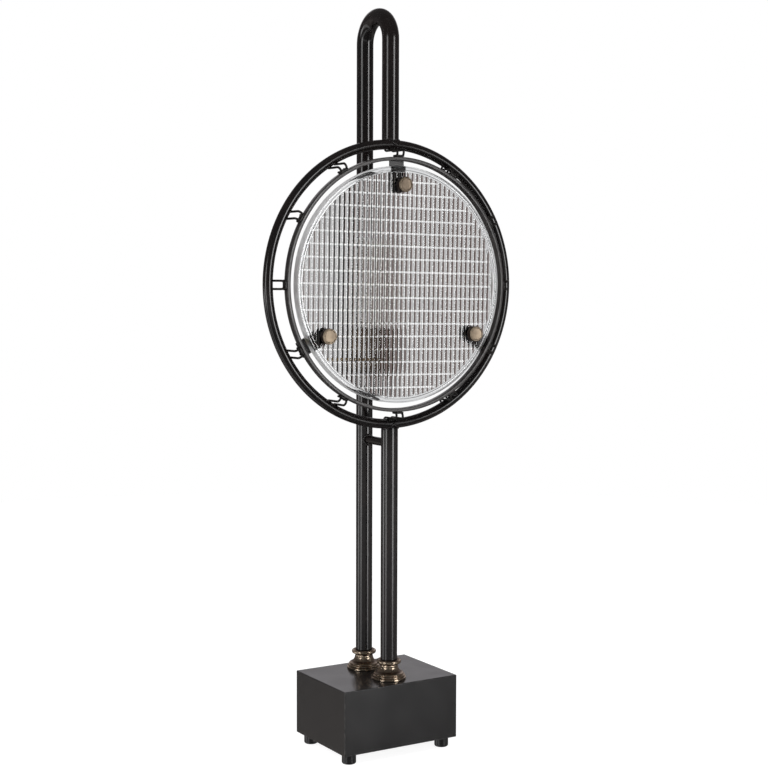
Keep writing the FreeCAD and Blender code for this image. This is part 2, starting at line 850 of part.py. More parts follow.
def make_post_fixings():
    """Bush welded in each post's foot, with the nipple, washer and nut that clamp it down."""
    posts = [FreeCAD.Vector(0, side * value(POST_Y), 0) for side in (-1, 1)]
    top = value(BLOCK_TOP)
    under = top - value("dims.block_top_wall")
    nipple_radius = value("dims.nipple_diameter / 2")
    clear = nipple_radius + value("dims.fit_clearance")
    below = value("dims.nipple_below")
    up = FreeCAD.Vector(0, 0, 1)

    def ring(outer, inner, low, tall):
        base = FreeCAD.Vector(0, 0, low)
        return Part.makeCylinder(outer, tall, base, up).cut(
            Part.makeCylinder(inner, tall, base, up)
        )

    inside = value("dims.post_diameter / 2 - dims.post_wall - dims.fit_clearance")
    bush = ring(inside, clear, top, value("dims.post_bush_height"))
    gathered("post_bushes", moved_copies(bush, posts))
    length = value("dims.block_top_wall + dims.nipple_above") + below
    nipple = ring(nipple_radius, value("dims.nipple_bore / 2"), under - below, length)
    gathered("threaded_nipples", moved_copies(nipple, posts))
    thick = value("dims.nipple_washer_thickness")
    washer = ring(value("dims.nipple_washer_diameter / 2"), clear, under - thick, thick)
    gathered("nipple_washers", moved_copies(washer, posts))
    nut_height = value("dims.nipple_nut_thickness")
    nut = hexagon(value("dims.nipple_nut_width"), nut_height)
    nut.translate(FreeCAD.Vector(0, 0, under - thick - nut_height))
    nut = nut.cut(Part.makeCylinder(clear, top, FreeCAD.Vector(0, 0, 0), up))
    gathered("nipple_nuts", moved_copies(nut, posts))


# Rings and the spring clips between them
def make_outer_ring():
    """Round bar bent into the large ring."""
    ring = doc.addObject("Part::Torus", "outer_ring")
    ring.setExpression("Radius1", "dims.ring_radius")
    ring.setExpression("Radius2", "dims.ring_bar / 2")
    place_on_lens(ring)
    return node(ring, "outer_ring")


def make_inner_ring():
    """Flat band round the glass, just forward of the outer ring."""
    body = new_body("inner_ring")
    outer = BAND_RADIUS
    inner = f"{BAND_RADIUS} - dims.inner_ring_thickness"
    front = f"{RING_BACK} + dims.inner_ring_depth"
    turned(body, "band", [(inner, RING_BACK), (outer, RING_BACK), (outer, front), (inner, front)])
    chamfer(body, "band_edges", "dims.inner_ring_edge", at_level(value(front)))
    place_on_lens(body)
    return node(body, "inner_ring")


def make_spring_clips():
    """Twin-wire spring clips from the outer ring's inside to the inner ring's outside.

    Each wire hooks behind the outer ring, runs forward along its inside, curls inward through
    a half circle and comes back along the inner ring, where a pad joins it to its twin.
    """
    body = new_body("spring_clips")
    ring_inside = "dims.ring_radius - dims.ring_bar / 2 - dims.clip_gap"
    outer_run = f"({ring_inside} - dims.clip_wire / 2)"
    inner_run = f"({BAND_RADIUS} + dims.clip_wire / 2 + dims.clip_gap)"
    hook_start = f"({outer_run} + dims.clip_tail_bend + dims.clip_tail_hook)"
    made = []
    for side, sign in (("a", ""), ("b", "-")):
        path = new_sketch(body, f"wire_path_{side}", "XZ_Plane", f"{sign}dims.clip_gauge / 2")
        outline(
            path,
            [
                (hook_start, "-dims.clip_tail"),
                (f"{outer_run} + dims.clip_tail_bend", "-dims.clip_tail", -QUARTER_TURN),
                (outer_run, "dims.clip_tail_bend - dims.clip_tail"),
                (outer_run, "dims.clip_reach", HALF_TURN),
                (inner_run, "dims.clip_reach"),
                (inner_run, "dims.clip_return"),
            ],
            closed=False,
        )
        section = new_sketch(body, f"wire_section_{side}", "YZ_Plane", hook_start)
        across = f"-({sign}dims.clip_gauge / 2)"
        circle(section, "dims.clip_wire", across, "-dims.clip_tail")
        made.append(pipe(body, f"wire_{side}", path, section))
    pad_back = f"{RING_BACK} + (dims.inner_ring_depth - dims.clip_pad_depth) / 2"
    pad_front = f"{RING_BACK} + (dims.inner_ring_depth + dims.clip_pad_depth) / 2"
    pad_inner = f"{BAND_RADIUS} + dims.clip_gap"
    pad_outer = f"{pad_inner} + dims.clip_pad_thickness"
    plate = new_sketch(body, "pad_section", "XZ_Plane")
    outline(
        plate,
        [
            (pad_inner, pad_back),
            (pad_outer, pad_back),
            (pad_outer, pad_front),
            (pad_inner, pad_front),
        ],
    )
    made.append(pad(body, "clip_pad", plate, "dims.clip_pad_width", midplane=True))
    doc.recompute()
    polar(body, "clip_round", made, "dims.clip_count")
    place_on_lens(body)
    return node(body, "spring_clips")


# Glass and what clamps it
def scalloped_block(pitch, rise, reach, level, depth):
    """Cutter whose near face is a row of concave hollows between convex flutes.

    Each flute is an arc of chord pitch and height rise below the level; the cutter fills
    everything outside the arcs out to depth, and it is centred on the origin.
    """
    count = 2 * math.ceil(reach / pitch) + 1
    start = -count * pitch / 2
    edges = []
    for i in range(count):
        left = start + i * pitch
        low = FreeCAD.Vector(left, 0, level - rise)
        crest = FreeCAD.Vector(left + pitch / 2, 0, level)
        high = FreeCAD.Vector(left + pitch, 0, level - rise)
        edges.append(Part.Arc(low, crest, high).toShape())
    far = level + depth
    right = start + count * pitch
    rim = [
        FreeCAD.Vector(right, 0, level - rise),
        FreeCAD.Vector(right, 0, far),
        FreeCAD.Vector(start, 0, far),
        FreeCAD.Vector(start, 0, level - rise),
    ]
    for a, b in zip(rim, rim[1:]):
        edges.append(Part.LineSegment(a, b).toShape())
    face = Part.Face(Part.Wire(edges))
    face.translate(FreeCAD.Vector(0, -reach, 0))
    return face.extrude(FreeCAD.Vector(0, 2 * reach, 0))


def make_glass():
    """Pressed lens with a plain margin, upright flutes in front and level prisms behind."""
    radius = value(GLASS_RADIUS)
    field = value(PATTERN_RADIUS)
    back = value(GLASS_BACK)
    front = value(GLASS_FRONT)
    thick = front - back
    edge = value("dims.glass_edge")
    blank = Part.makeCylinder(radius, thick, FreeCAD.Vector(0, 0, back))
    round_edges = [e for e in blank.Edges if e.BoundBox.ZLength < 1e-6]
    blank = blank.makeFillet(edge, round_edges)
    flutes = scalloped_block(
        value("dims.flute_pitch"), value("dims.flute_rise"), field, front, thick
    )
    rows = scalloped_block(value("dims.row_pitch"), value("dims.row_rise"), field, 0, thick)
    rows.rotate(FreeCAD.Vector(0, 0, 0), FreeCAD.Vector(1, 0, 0), 180)
    rows.rotate(FreeCAD.Vector(0, 0, 0), FreeCAD.Vector(0, 0, 1), 90)
    rows.translate(FreeCAD.Vector(0, 0, back))
    bound = Part.makeCylinder(field, 3 * thick, FreeCAD.Vector(0, 0, back - thick))
    glass = blank.cut(flutes.common(bound)).cut(rows.common(bound))
    hole = Part.makeCylinder(value("dims.glass_hole / 2"), 3 * thick)
    circle_radius = value(STUD_CIRCLE)
    for angle in BRACKET_ANGLES.values():
        turn = math.radians(angle)
        spot = FreeCAD.Vector(
            circle_radius * math.cos(turn), circle_radius * math.sin(turn), back - thick
        )
        glass = glass.cut(moved_copies(hole, [spot])[0])
    thing = doc.addObject("Part::Feature", "front_glass")
    thing.Shape = glass
    place_on_lens(thing)
    return node(thing, "front_glass")


def make_bracket(side, angle):
    """Flat strip from the inner ring's back to a stud, with a rounded nose."""
    label = f"bracket_{side}"
    body = new_body(label)
    arm = new_sketch(body, label + "_arm", "XZ_Plane")
    end = f"{STUD_CIRCLE} - dims.bracket_end"
    ring = BAND_RADIUS
    outline(arm, [(end, ARM_BACK), (ring, ARM_BACK), (ring, RING_BACK), (end, RING_BACK)])
    pad(body, label + "_strip", arm, "dims.bracket_width", midplane=True)
    inner_end = value(end)
    fillet(
        body,
        label + "_nose",
        "dims.bracket_nose",
        lambda edge: upright_edge(edge) and edge.BoundBox.XMax < inner_end + 1e-6,
    )
    hole = new_sketch(body, label + "_hole", "XY_Plane", RING_BACK)
    circle(hole, "dims.stud_diameter + 2 * dims.fit_clearance", STUD_CIRCLE, "0")
    pocket(body, label + "_drilling", hole, "dims.bracket_thickness")
    place_on_lens(body, angle)
    return node(body, label)


def make_stud_hardware():
    """Studs, their nuts and the rubber washers on both faces of the glass."""
    radius = value("dims.stud_diameter / 2")
    clear = radius + value("dims.fit_clearance")
    nut_height = value("dims.stud_nut_thickness")
    arm_back = value(ARM_BACK)
    washer = value("dims.washer_thickness")
    washer_radius = value("dims.washer_diameter / 2")
    stud_back = arm_back - nut_height - value("dims.stud_beyond")
    stud_front = value(f"{KNOB_BACK} + dims.knob_bore_depth - dims.stud_gap")
    axis_spot = FreeCAD.Vector(value(STUD_CIRCLE), 0, 0)

    def washer_at(level):
        outer = Part.makeCylinder(washer_radius, washer, FreeCAD.Vector(0, 0, level))
        return outer.cut(Part.makeCylinder(clear, washer, FreeCAD.Vector(0, 0, level)))

    nut = hexagon(value("dims.stud_nut_width"), nut_height)
    nut = nut.cut(Part.makeCylinder(clear, nut_height))
    nut.translate(FreeCAD.Vector(0, 0, arm_back - nut_height))
    stud = Part.makeCylinder(radius, stud_front - stud_back, FreeCAD.Vector(0, 0, stud_back))
    kinds = {
        "knob_studs": stud,
        "stud_nuts": nut,
        "rear_washers": washer_at(value(RING_BACK)),
        "front_washers": washer_at(value(GLASS_FRONT)),
    }
    for label, piece in kinds.items():
        copies = []
        for angle in BRACKET_ANGLES.values():
            copy = piece.copy()
            copy.translate(axis_spot)
            copy.rotate(FreeCAD.Vector(0, 0, 0), FreeCAD.Vector(0, 0, 1), angle)
            copies.append(copy)
        place_on_lens(gathered(label, copies))


def make_knob(side, angle):
    """Knurled brass thumb knob with a bevelled rim, blind-tapped for its stud."""
    label = f"knob_{side}"
    body = new_body(label)
    radius = "dims.knob_diameter / 2"
    bore = "dims.stud_diameter / 2 + dims.fit_clearance"
    top = "dims.knob_thickness"
    turned(
        body,
        label + "_turning",
        [
            (bore, "0"),
            (f"{radius} - dims.knob_rim / 2", "0"),
            (radius, "dims.knob_rim / 2"),
            (radius, f"{top} - dims.knob_rim"),
            (f"{radius} - dims.knob_rim", top),
            (f"{radius} - 2 * dims.knob_rim", top),
            (f"{radius} - 2 * dims.knob_rim - dims.knob_dish", f"{top} - dims.knob_dish"),
            ("0", f"{top} - dims.knob_dish"),
            ("0", "dims.knob_bore_depth"),
            (bore, "dims.knob_bore_depth"),
        ],
    )
    groove = new_sketch(body, label + "_groove", "XY_Plane", "dims.knurl_land")
    half = "dims.knurl_width / 2"
    outline(
        groove,
        [
            (f"{radius} - dims.knurl_depth", "0"),
            (f"{radius} + dims.cut_over", f"-({half})"),
            (f"{radius} + dims.cut_over", half),
        ],
    )
    land = "dims.knob_thickness - 2 * dims.knurl_land"
    cut = pocket(body, label + "_knurl", groove, land, reverse=True)
    polar(body, label + "_knurling", [cut], "dims.knurl_count")
    turn_angle = math.radians(angle)
    turn = FACING_FORWARD.multiply(FreeCAD.Rotation(FreeCAD.Vector(0, 0, 1), angle))
    place(
        body,
        x=f"{STUD_CIRCLE} * {math.cos(turn_angle):.9f}",
        y=f"{RING_Y} - {KNOB_BACK}",
        z=f"dims.ring_level + {STUD_CIRCLE} * {math.sin(turn_angle):.9f}",
        turn=turn,
    )
    return node(body, label)


# Lampholder on its arm, with the switch key and the bulb
HOLDER_Y = "(-dims.holder_forward)"


def make_arm():
    """Bent tube that carries the lampholder off the rear post."""
    body = new_body("arm_tube")
    path = new_sketch(body, "arm_path", "YZ_Plane")
    level = "dims.holder_level - dims.arm_drop"
    outline(
        path,
        [
            (POST_Y, level),
            (f"{HOLDER_Y} + dims.arm_bend", level, -QUARTER_TURN),
            (HOLDER_Y, f"{level} + dims.arm_bend"),
            (HOLDER_Y, "dims.holder_level + dims.cap_neck_height"),
        ],
        closed=False,
    )
    section = new_sketch(body, "arm_section", "XZ_Plane", f"-{POST_Y}")
    circle(section, "dims.arm_diameter", "0", level)
    circle(section, "dims.arm_bore", "0", level)
    pipe(body, "bent_arm", path, section)
    return body


def arm_tool():
    """Cylinder of the rear post that the arm's end is cut to fit."""
    tool = doc.addObject("Part::Cylinder", "arm_cope_tool")
    tool.setExpression("Radius", "dims.post_diameter / 2 + dims.weld_gap")
    tool.setExpression("Height", "4 * dims.post_diameter")
    level = "dims.holder_level - dims.arm_drop - 2 * dims.post_diameter"
    place(tool, y=POST_Y, z=level)
    return tool


def holder_piece(label, corners):
    """Turned piece of the lampholder, on its axis."""
    body = new_body(label)
    turned(body, label + "_turning", corners)
    place(body, y=HOLDER_Y, z="dims.holder_level")
    return body


def key_hole(body, diameter):
    """Hole for the switch key through the -X wall of a lampholder piece."""
    sketch = new_sketch(body, body.Name + "_key_hole", "YZ_Plane")
    circle(sketch, diameter, "0", "dims.key_level")
    pocket(body, body.Name + "_key_drilling", sketch, "dims.cap_diameter", reverse=False)


def make_holder():
    """Cap, shell, fibre sleeve, core, thread shell and centre contact."""
    wall = "dims.holder_wall"
    neck = "dims.cap_neck_diameter / 2"
    cap = "dims.cap_diameter / 2"
    neck_bore = "dims.arm_diameter / 2 + dims.fit_clearance"
    body = holder_piece(
        "socket_cap",
        [
            (neck_bore, "0"),
            (neck, "0"),
            (neck, "dims.cap_neck_height", CAP_DOME),
            (cap, "dims.cap_shoulder_height"),
            (cap, "dims.cap_height"),
            (f"{cap} - {wall}", "dims.cap_height"),
            (f"{cap} - {wall}", f"dims.cap_shoulder_height + {wall} / 2", -CAP_DOME),
            (neck_bore, f"dims.cap_neck_height + {wall}"),
        ],
    )
    node(body, "socket_cap")
    shell = "dims.shell_diameter / 2"
    body = holder_piece(
        "socket_shell",
        [
            (f"{shell} - {wall}", "dims.shell_bottom"),
            (shell, "dims.shell_bottom"),
            (shell, "dims.shell_bead_bottom", STEP_ARC),
            (shell, "dims.shell_bead_top"),
            (shell, "dims.shell_top - dims.shell_lip", SHELL_LIP_ARC),
            (f"{shell} - {wall}", "dims.shell_top"),
        ],
    )
    key_hole(body, "dims.key_hole_diameter")
    node(body, "socket_shell")
    sleeve, sleeve_bore = "dims.sleeve_diameter / 2", "dims.sleeve_bore / 2"
    body = holder_piece(
        "insulating_sleeve",
        [
            (sleeve_bore, "dims.sleeve_bottom"),
            (sleeve, "dims.sleeve_bottom"),
            (sleeve, "dims.sleeve_top"),
            (sleeve_bore, "dims.sleeve_top"),
        ],
    )
    key_hole(body, "dims.key_hole_diameter")
    node(body, "insulating_sleeve")
    core = "dims.core_diameter / 2"
    body = holder_piece(
        "socket_core",
        [
            ("0", "dims.core_bottom"),
            (f"{core} - dims.core_bevel", "dims.core_bottom"),
            (core, "dims.core_bottom + dims.core_bevel"),
            (core, "dims.core_top"),
            ("0", "dims.core_top"),
        ],
    )
    sketch = new_sketch(body, "core_key_hole", "YZ_Plane")
    circle(sketch, "dims.key_rod_diameter + 2 * dims.fit_clearance", "0", "dims.key_level")
    pocket(body, "core_key_drilling", sketch, core, reverse=False)
    node(body, "socket_core")
    outer, bore = "dims.thread_shell_diameter / 2", "dims.thread_shell_bore / 2"
    body = holder_piece(
        "thread_shell",
        [
            ("dims.thread_shell_opening / 2", "dims.core_top"),
            (outer, "dims.core_top"),
            (outer, "dims.thread_shell_top"),
            (bore, "dims.thread_shell_top"),
            (bore, "dims.core_top + dims.holder_wall"),
            ("dims.thread_shell_opening / 2", "dims.core_top + dims.holder_wall"),
        ],
    )
    node(body, "thread_shell")
    body = holder_piece(
        "centre_contact",
        [
            ("0", "dims.core_top"),
            ("dims.contact_width / 2", "dims.core_top"),
            ("dims.contact_width / 2 - dims.contact_taper", "dims.core_top + dims.contact_height"),
            ("0", "dims.core_top + dims.contact_height"),
        ],
    )
    node(body, "centre_contact")


def make_key():
    """Rod of the rotary switch and the flat grip on its end, reaching out along -X."""
    rod = new_body("key_rod")
    section = new_sketch(rod, "rod_section", "YZ_Plane", "dims.key_rod_depth")
    circle(section, "dims.key_rod_diameter")
    pad(rod, "rod_pad", section, "dims.key_rod_reach - dims.key_rod_depth")
    turn = FreeCAD.Rotation(FreeCAD.Vector(0, 0, 1), 180)
    level = "dims.holder_level + dims.key_level"
    place(rod, y=HOLDER_Y, z=level, turn=turn)
    node(rod, "key_rod")
    grip = new_body("key_grip")
    grip_start = "dims.key_rod_reach - dims.key_grip_overlap"
    profile = new_sketch(grip, "grip_section", "YZ_Plane", grip_start)
    flat = "dims.key_grip_width / 2 - dims.key_grip_edge"
    half_thick = "dims.key_grip_thickness / 2"
    outline(
        profile,
        [
            (f"-({flat})", f"-({half_thick})"),
            (flat, f"-({half_thick})", GRIP_ARC),
            (flat, half_thick),
            (f"-({flat})", half_thick, GRIP_ARC),
        ],
    )
    pad(grip, "grip_pad", profile, "dims.key_grip_length")
    bore = new_sketch(grip, "grip_bore", "YZ_Plane", grip_start)
    circle(bore, "dims.key_rod_diameter + 2 * dims.fit_clearance")
    pocket(grip, "grip_drilling", bore, "dims.key_grip_overlap", reverse=True)
    place(grip, y=HOLDER_Y, z=level, turn=turn)
    node(grip, "key_grip")


def make_bulb():
    """Tubular bulb: threaded cap, insulator with tip, glass envelope and filament stem."""
    radius = "dims.bulb_cap_diameter / 2"
    root = f"{radius} - dims.bulb_thread_depth"
    seat = "dims.bulb_seat"
    top = f"{seat} + dims.bulb_cap_height"
    corners = [("0", seat), (f"{radius} - dims.bulb_cap_bevel", seat)]
    turns = int(value("dims.bulb_thread_turns"))
    for i in range(turns):
        low = f"{seat} + dims.bulb_thread_start + {i} * dims.bulb_thread_pitch"
        corners.append((root, low))
        corners.append((radius, f"{low} + dims.bulb_thread_pitch / 2"))
    thread_top = f"dims.bulb_thread_start + {turns} * dims.bulb_thread_pitch"
    corners.append((root, f"{seat} + {thread_top}"))
    corners.append((root, top))
    corners.append(("0", top))
    node(holder_piece("bulb_cap", corners), "bulb_cap")
    tip = "dims.bulb_tip_diameter / 2"
    tip_low = f"{seat} - dims.bulb_tip_height"
    body = holder_piece("bulb_tip", [("0", tip_low), (tip, tip_low), (tip, seat), ("0", seat)])
    node(body, "bulb_tip")
    glass = "dims.bulb_glass_diameter / 2"
    wall = "dims.bulb_glass_wall"
    neck = f"{radius} - dims.bulb_neck_inset"
    shoulder = f"{top} + dims.bulb_neck_height"
    crown = f"{top} + dims.bulb_glass_height - {glass}"
    crest = f"{top} + dims.bulb_glass_height"
    tip_off = "dims.bulb_seal / 2"
    body = holder_piece(
        "bulb_glass",
        [
            ("0", top),
            (neck, top),
            (glass, shoulder),
            (glass, crown, QUARTER_TURN),
            (tip_off, crest),
            ("0", crest),
        ],
    )
    stem_hole = "dims.bulb_stem_diameter / 2 + dims.cut_over"
    turned(
        body,
        "bulb_hollow",
        [
            ("0", top),
            (stem_hole, top),
            (stem_hole, f"{top} + {wall}"),
            (f"{neck} - {wall}", f"{top} + {wall}"),
            (f"{glass} - {wall}", shoulder),
            (f"{glass} - {wall}", crown, QUARTER_TURN),
            (tip_off, f"{crest} - {wall}"),
            ("0", f"{crest} - {wall}"),
        ],
        kind="PartDesign::Groove",
    )
    node(body, "bulb_glass")
    stem = "dims.bulb_stem_diameter / 2"
    wire = "dims.filament_wire / 2"
    peak = f"{top} + dims.filament_height"
    body = holder_piece(
        "bulb_filament",
        [
            ("0", top),
            (stem, top),
            (f"{stem} - dims.bulb_stem_taper", f"{top} + dims.bulb_stem_height"),
            (wire, f"{top} + dims.bulb_stem_height"),
            (wire, peak),
            ("0", peak),
        ],
    )
    span = new_sketch(body, "filament_span", "YZ_Plane", "-dims.filament_spread / 2")
    circle(span, "dims.filament_wire", "0", f"{peak} - dims.filament_wire")
    pad(body, "filament_bar", span, "dims.filament_spread")
    node(body, "bulb_filament")


def check_document():
    """Stop if a feature failed or a sub-part has no valid solid."""
    failed = [o.Name for o in doc.Objects if "Invalid" in o.State or "Error" in o.State]
    if failed:
        raise ValueError(f"failed features: {failed}")
    for thing in nodes:
        shape = thing.Shape
        if shape.isNull() or not shape.isValid() or not shape.Solids:
            raise ValueError(f"{thing.Label} has no valid solid")


make_block()
make_plate()
make_ballast()
make_ballast_screws()
make_feet()
make_foot_screws()
make_bush()
make_bush_nut()
coped("hairpin_post", make_hairpin(), [cope_tool("limb_ring")])
coped("front_post", make_front_post(), [cope_tool("post_ring")])
tie = make_stretcher()
coped("stretcher", tie, [post_tool("front_tube", f"-{POST_Y}"), post_tool("rear_tube", POST_Y)])
make_collar("front_collar", f"-{POST_Y}")
make_collar("rear_collar", POST_Y)
make_post_fixings()
make_outer_ring()
make_inner_ring()
make_spring_clips()
make_glass()
for bracket_side, bracket_angle in BRACKET_ANGLES.items():
    make_bracket(bracket_side, bracket_angle)
make_stud_hardware()
for knob_side, knob_angle in BRACKET_ANGLES.items():
    make_knob(knob_side, knob_angle)
coped("socket_arm", make_arm(), [arm_tool()])
make_holder()
make_key()
make_bulb()
doc.recompute()
check_document()

os.makedirs("parts", exist_ok=True)
for thing in nodes:
    thing.Shape.exportStep(f"parts/{thing.Label}.step")
    box = thing.Shape.BoundBox
    print(
        f"{thing.Label}: {len(thing.Shape.Solids)} solids,"
        f" {thing.Shape.Volume / 1000:.1f} cm3,"
        f" x {box.XMin:.1f} to {box.XMax:.1f},"
        f" y {box.YMin:.1f} to {box.YMax:.1f},"
        f" z {box.ZMin:.1f} to {box.ZMax:.1f}"
    )
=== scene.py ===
"""Looks of the tabletop searchlight lamp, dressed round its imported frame.

Shapes are worked out in millimetres in the lamp's own frame: Z up, the glass facing -Y, the
floor at 0. They become metres when a mesh is made.
"""
import json
import math
import bmesh
import bpy
import numpy as np
from mathutils import Matrix, Vector


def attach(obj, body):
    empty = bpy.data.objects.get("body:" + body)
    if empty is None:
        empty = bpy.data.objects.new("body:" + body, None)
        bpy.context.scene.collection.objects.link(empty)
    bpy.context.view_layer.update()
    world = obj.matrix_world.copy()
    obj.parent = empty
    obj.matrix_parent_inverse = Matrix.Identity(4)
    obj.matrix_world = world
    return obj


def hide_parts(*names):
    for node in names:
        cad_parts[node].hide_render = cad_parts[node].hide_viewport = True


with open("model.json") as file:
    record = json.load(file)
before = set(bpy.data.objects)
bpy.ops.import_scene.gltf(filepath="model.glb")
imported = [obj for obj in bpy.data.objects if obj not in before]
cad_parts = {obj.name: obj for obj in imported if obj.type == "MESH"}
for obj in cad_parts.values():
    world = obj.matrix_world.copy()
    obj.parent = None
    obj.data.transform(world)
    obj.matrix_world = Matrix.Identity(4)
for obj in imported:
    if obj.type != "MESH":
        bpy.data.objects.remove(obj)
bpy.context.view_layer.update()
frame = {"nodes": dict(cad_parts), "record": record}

MM = 0.001
BLOCK_TOP = 84.0
POST_Y = 27.5
POST_RADIUS = 9.5
POST_DRAWN = 367.0
BEND_LEVEL = 801.0
LIMB_DRAWN = 692.0
DRAW_LENGTH = 7.5
DRAW_LOSS = 4.0
BOX_CLEARANCE = 0.03
RING_LEVEL = 529.5
RING_Y = -31.5
RING_RADIUS = 155.0
RING_BAR = 5.5
GLASS_BACK = 11.0
GLASS_FRONT = 21.0
GLASS_RADIUS = 130.5
FIELD_RADIUS = 124.0
FLUTE_PITCH = 6.13
FLUTE_DEPTH = 1.1
FLUTE_START = 0.65
ROW_PITCH = 14.2
ROW_SLOPE = 0.53
PATTERN_TURN = -0.9
FLUTE_LIGHT = (0.45, 0.8)
ROW_LIGHT = (0.8, 1.1)
STUD_CIRCLE = 110.0
KNOB_BACK = 22.0
TIE_LEVEL = 352.0
HOLDER_Y = -3.0
HOLDER_LEVEL = 424.0
BULB_FOOT = HOLDER_LEVEL + 53.5
KNOB_ANGLES = {"top": 90, "left": 210, "right": 330}


# Shells: arrays of points with arrays of faces
def ring_faces(rings, around, joined):
    """Quads between neighbouring rings of points; the last ring meets the first if joined."""
    low = np.arange(rings if joined else rings - 1)[:, None]
    step = np.arange(around)[None, :]
    high = (low + 1) % rings
    after = (step + 1) % around
    low, high = low * around, high * around
    corners = [low + step, low + after, high + after, high + step]
    return np.stack(corners, -1).reshape(-1, 4)


def skin(rings, joined=False):
    """Closed shell over an array (rings, around, 3), joined end to end or fanned at both ends."""
    count, around = rings.shape[:2]
    points = rings.reshape(-1, 3)
    faces = [ring_faces(count, around, joined)]
    if not joined:
        step = np.arange(around)
        after = (step + 1) % around
        last = (count - 1) * around
        middles = np.array([rings[0].mean(0), rings[-1].mean(0)])
        base = len(points)
        points = np.vstack([points, middles])
        faces.append(np.stack([after, step, np.full(around, base)], -1))
        faces.append(np.stack([last + step, last + after, np.full(around, base + 1)], -1))
    return points, faces


def merged(shells):
    """Several shells as one."""
    points, faces, count = [], [], 0
    for shell_points, shell_faces in shells:
        points.append(shell_points)
        faces.extend(f + count for f in shell_faces)
        count += len(shell_points)
    return np.vstack(points), faces


def moved(shell, origin=(0, 0, 0), axes=((1, 0, 0), (0, 1, 0), (0, 0, 1))):
    """Shell carried from its own axes to the given axes and origin."""
    points, faces = shell
    return points @ np.array(axes, float) + np.array(origin, float), faces


def on_lens(shell, angle=0.0, radius=0.0):
    """Shell made about its own Z, put on the lens axis: Z forward, X along the radius."""
    turn = math.radians(angle)
    across = (math.cos(turn), 0, math.sin(turn))
    up = (-math.sin(turn), 0, math.cos(turn))
    origin = (radius * across[0], RING_Y, RING_LEVEL + radius * across[2])
    return moved(shell, origin, (across, up, (0, -1, 0)))


def outline(corners, steps=8):
    """Outline through (radius, height, bulge) corners.

    A bulge is the arc's height over half its chord, positive to the right of travel. With
    half angle h = 2 atan(bulge), the arc lies at sin(s h) / sin(h) along the half chord and
    (cos(s h) - cos(h)) / sin(h) of it to the side, for s from -1 to 1.
    """
    made = []
    for i, corner in enumerate(corners):
        start = np.array(corner[:2], float)
        end = np.array(corners[(i + 1) % len(corners)][:2], float)
        if len(corner) < 3:
            made.append(start[None])
            continue
        half = 2 * math.atan(corner[2])
        s = np.linspace(-1, 1, steps, endpoint=False)[:, None]
        chord = (end - start) / 2
        side = np.array([chord[1], -chord[0]])
        along = np.sin(s * half) / math.sin(half)
        out = (np.cos(s * half) - math.cos(half)) / math.sin(half)
        made.append((start + end) / 2 + along * chord + out * side)
    return np.vstack(made)


def turned(profile, around=96, joined=True):
    """Profile of (radius, height) points swept about Z: (r cos a, r sin a, h)."""
    a = np.linspace(0, 2 * math.pi, around, endpoint=False)[None, :]
    r = profile[:, :1]
    h = np.broadcast_to(profile[:, 1:2], (len(profile), around))
    return skin(np.stack([r * np.cos(a), r * np.sin(a), h], -1), joined)


def pipe(path, radius, side, around=24, joined=False):
    """Round section carried along a path.

    The section's axes are the side vector, squared up to the path, and its cross product
    with the path; a radius may differ from point to point.
    """
    path = np.asarray(path, float)
    ahead = np.roll(path, -1, 0) - np.roll(path, 1, 0)
    if not joined:
        ahead[0] = path[1] - path[0]
        ahead[-1] = path[-1] - path[-2]
    ahead /= np.linalg.norm(ahead, axis=1)[:, None]
    across = np.cross(ahead, np.broadcast_to(np.asarray(side, float), path.shape))
    across /= np.linalg.norm(across, axis=1)[:, None]
    up = np.cross(across, ahead)
    a = np.linspace(0, 2 * math.pi, around, endpoint=False)[None, :, None]
    size = np.broadcast_to(np.asarray(radius, float).reshape(-1, 1, 1), (len(path), 1, 1))
    rings = path[:, None] + size * (np.cos(a) * across[:, None] + np.sin(a) * up[:, None])
    return skin(rings, joined)


def volume_of(points, faces):
    """Signed volume: a sixth of the sum of a . (b x c) over the triangles."""
    total = 0.0
    for f in faces:
        for k in range(1, f.shape[1] - 1):
            a, b, c = points[f[:, 0]], points[f[:, k]], points[f[:, k + 1]]
            total += np.einsum("ij,ij->", a, np.cross(b, c)) / 6
    return total


def piece(name, shells, body, material, replaces=(), sharp=40):
    """Mesh object of closed shells that face outwards, riding on a body."""
    facing = [
        (p, f if volume_of(p, f) > 0 else [g[:, ::-1] for g in f]) for p, f in shells
    ]
    points, faces = merged(facing)
    mesh = bpy.data.meshes.new(name)
    mesh.from_pydata((points * MM).tolist(), [], [c for f in faces for c in f.tolist()])
    mesh.polygons.foreach_set("use_smooth", np.ones(len(mesh.polygons), bool))
    mesh.set_sharp_from_angle(angle=math.radians(sharp))
    mesh.materials.append(material)
    thing = bpy.data.objects.new(name, mesh)
    bpy.context.scene.collection.objects.link(thing)
    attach(thing, body)
    if replaces:
        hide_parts(*replaces)
    return thing


# Node trees
def put(tree, kind, inputs=None, **settings):
    """Node with its settings, and its inputs filled or linked by name or number."""
    made = tree.nodes.new(kind)
    for key, setting in settings.items():
        setattr(made, key, setting)
    for key, given in (inputs or {}).items():
        if isinstance(given, bpy.types.NodeSocket):
            tree.links.new(given, made.inputs[key])
        else:
            made.inputs[key].default_value = given
    return made


def maths(tree, operation, a, b=0.0, clamp=False):
    """One sum of two numbers or sockets."""
    made = put(tree, "ShaderNodeMath", {0: a, 1: b}, operation=operation, use_clamp=clamp)
    return made.outputs[0]


def ranged(tree, socket, low, high, to_low=0.0, to_high=1.0):
    """Socket's value carried smoothly from one range to another."""
    inputs = {0: socket, 1: low, 2: high, 3: to_low, 4: to_high}
    return put(tree, "ShaderNodeMapRange", inputs, interpolation_type="SMOOTHSTEP").outputs[0]


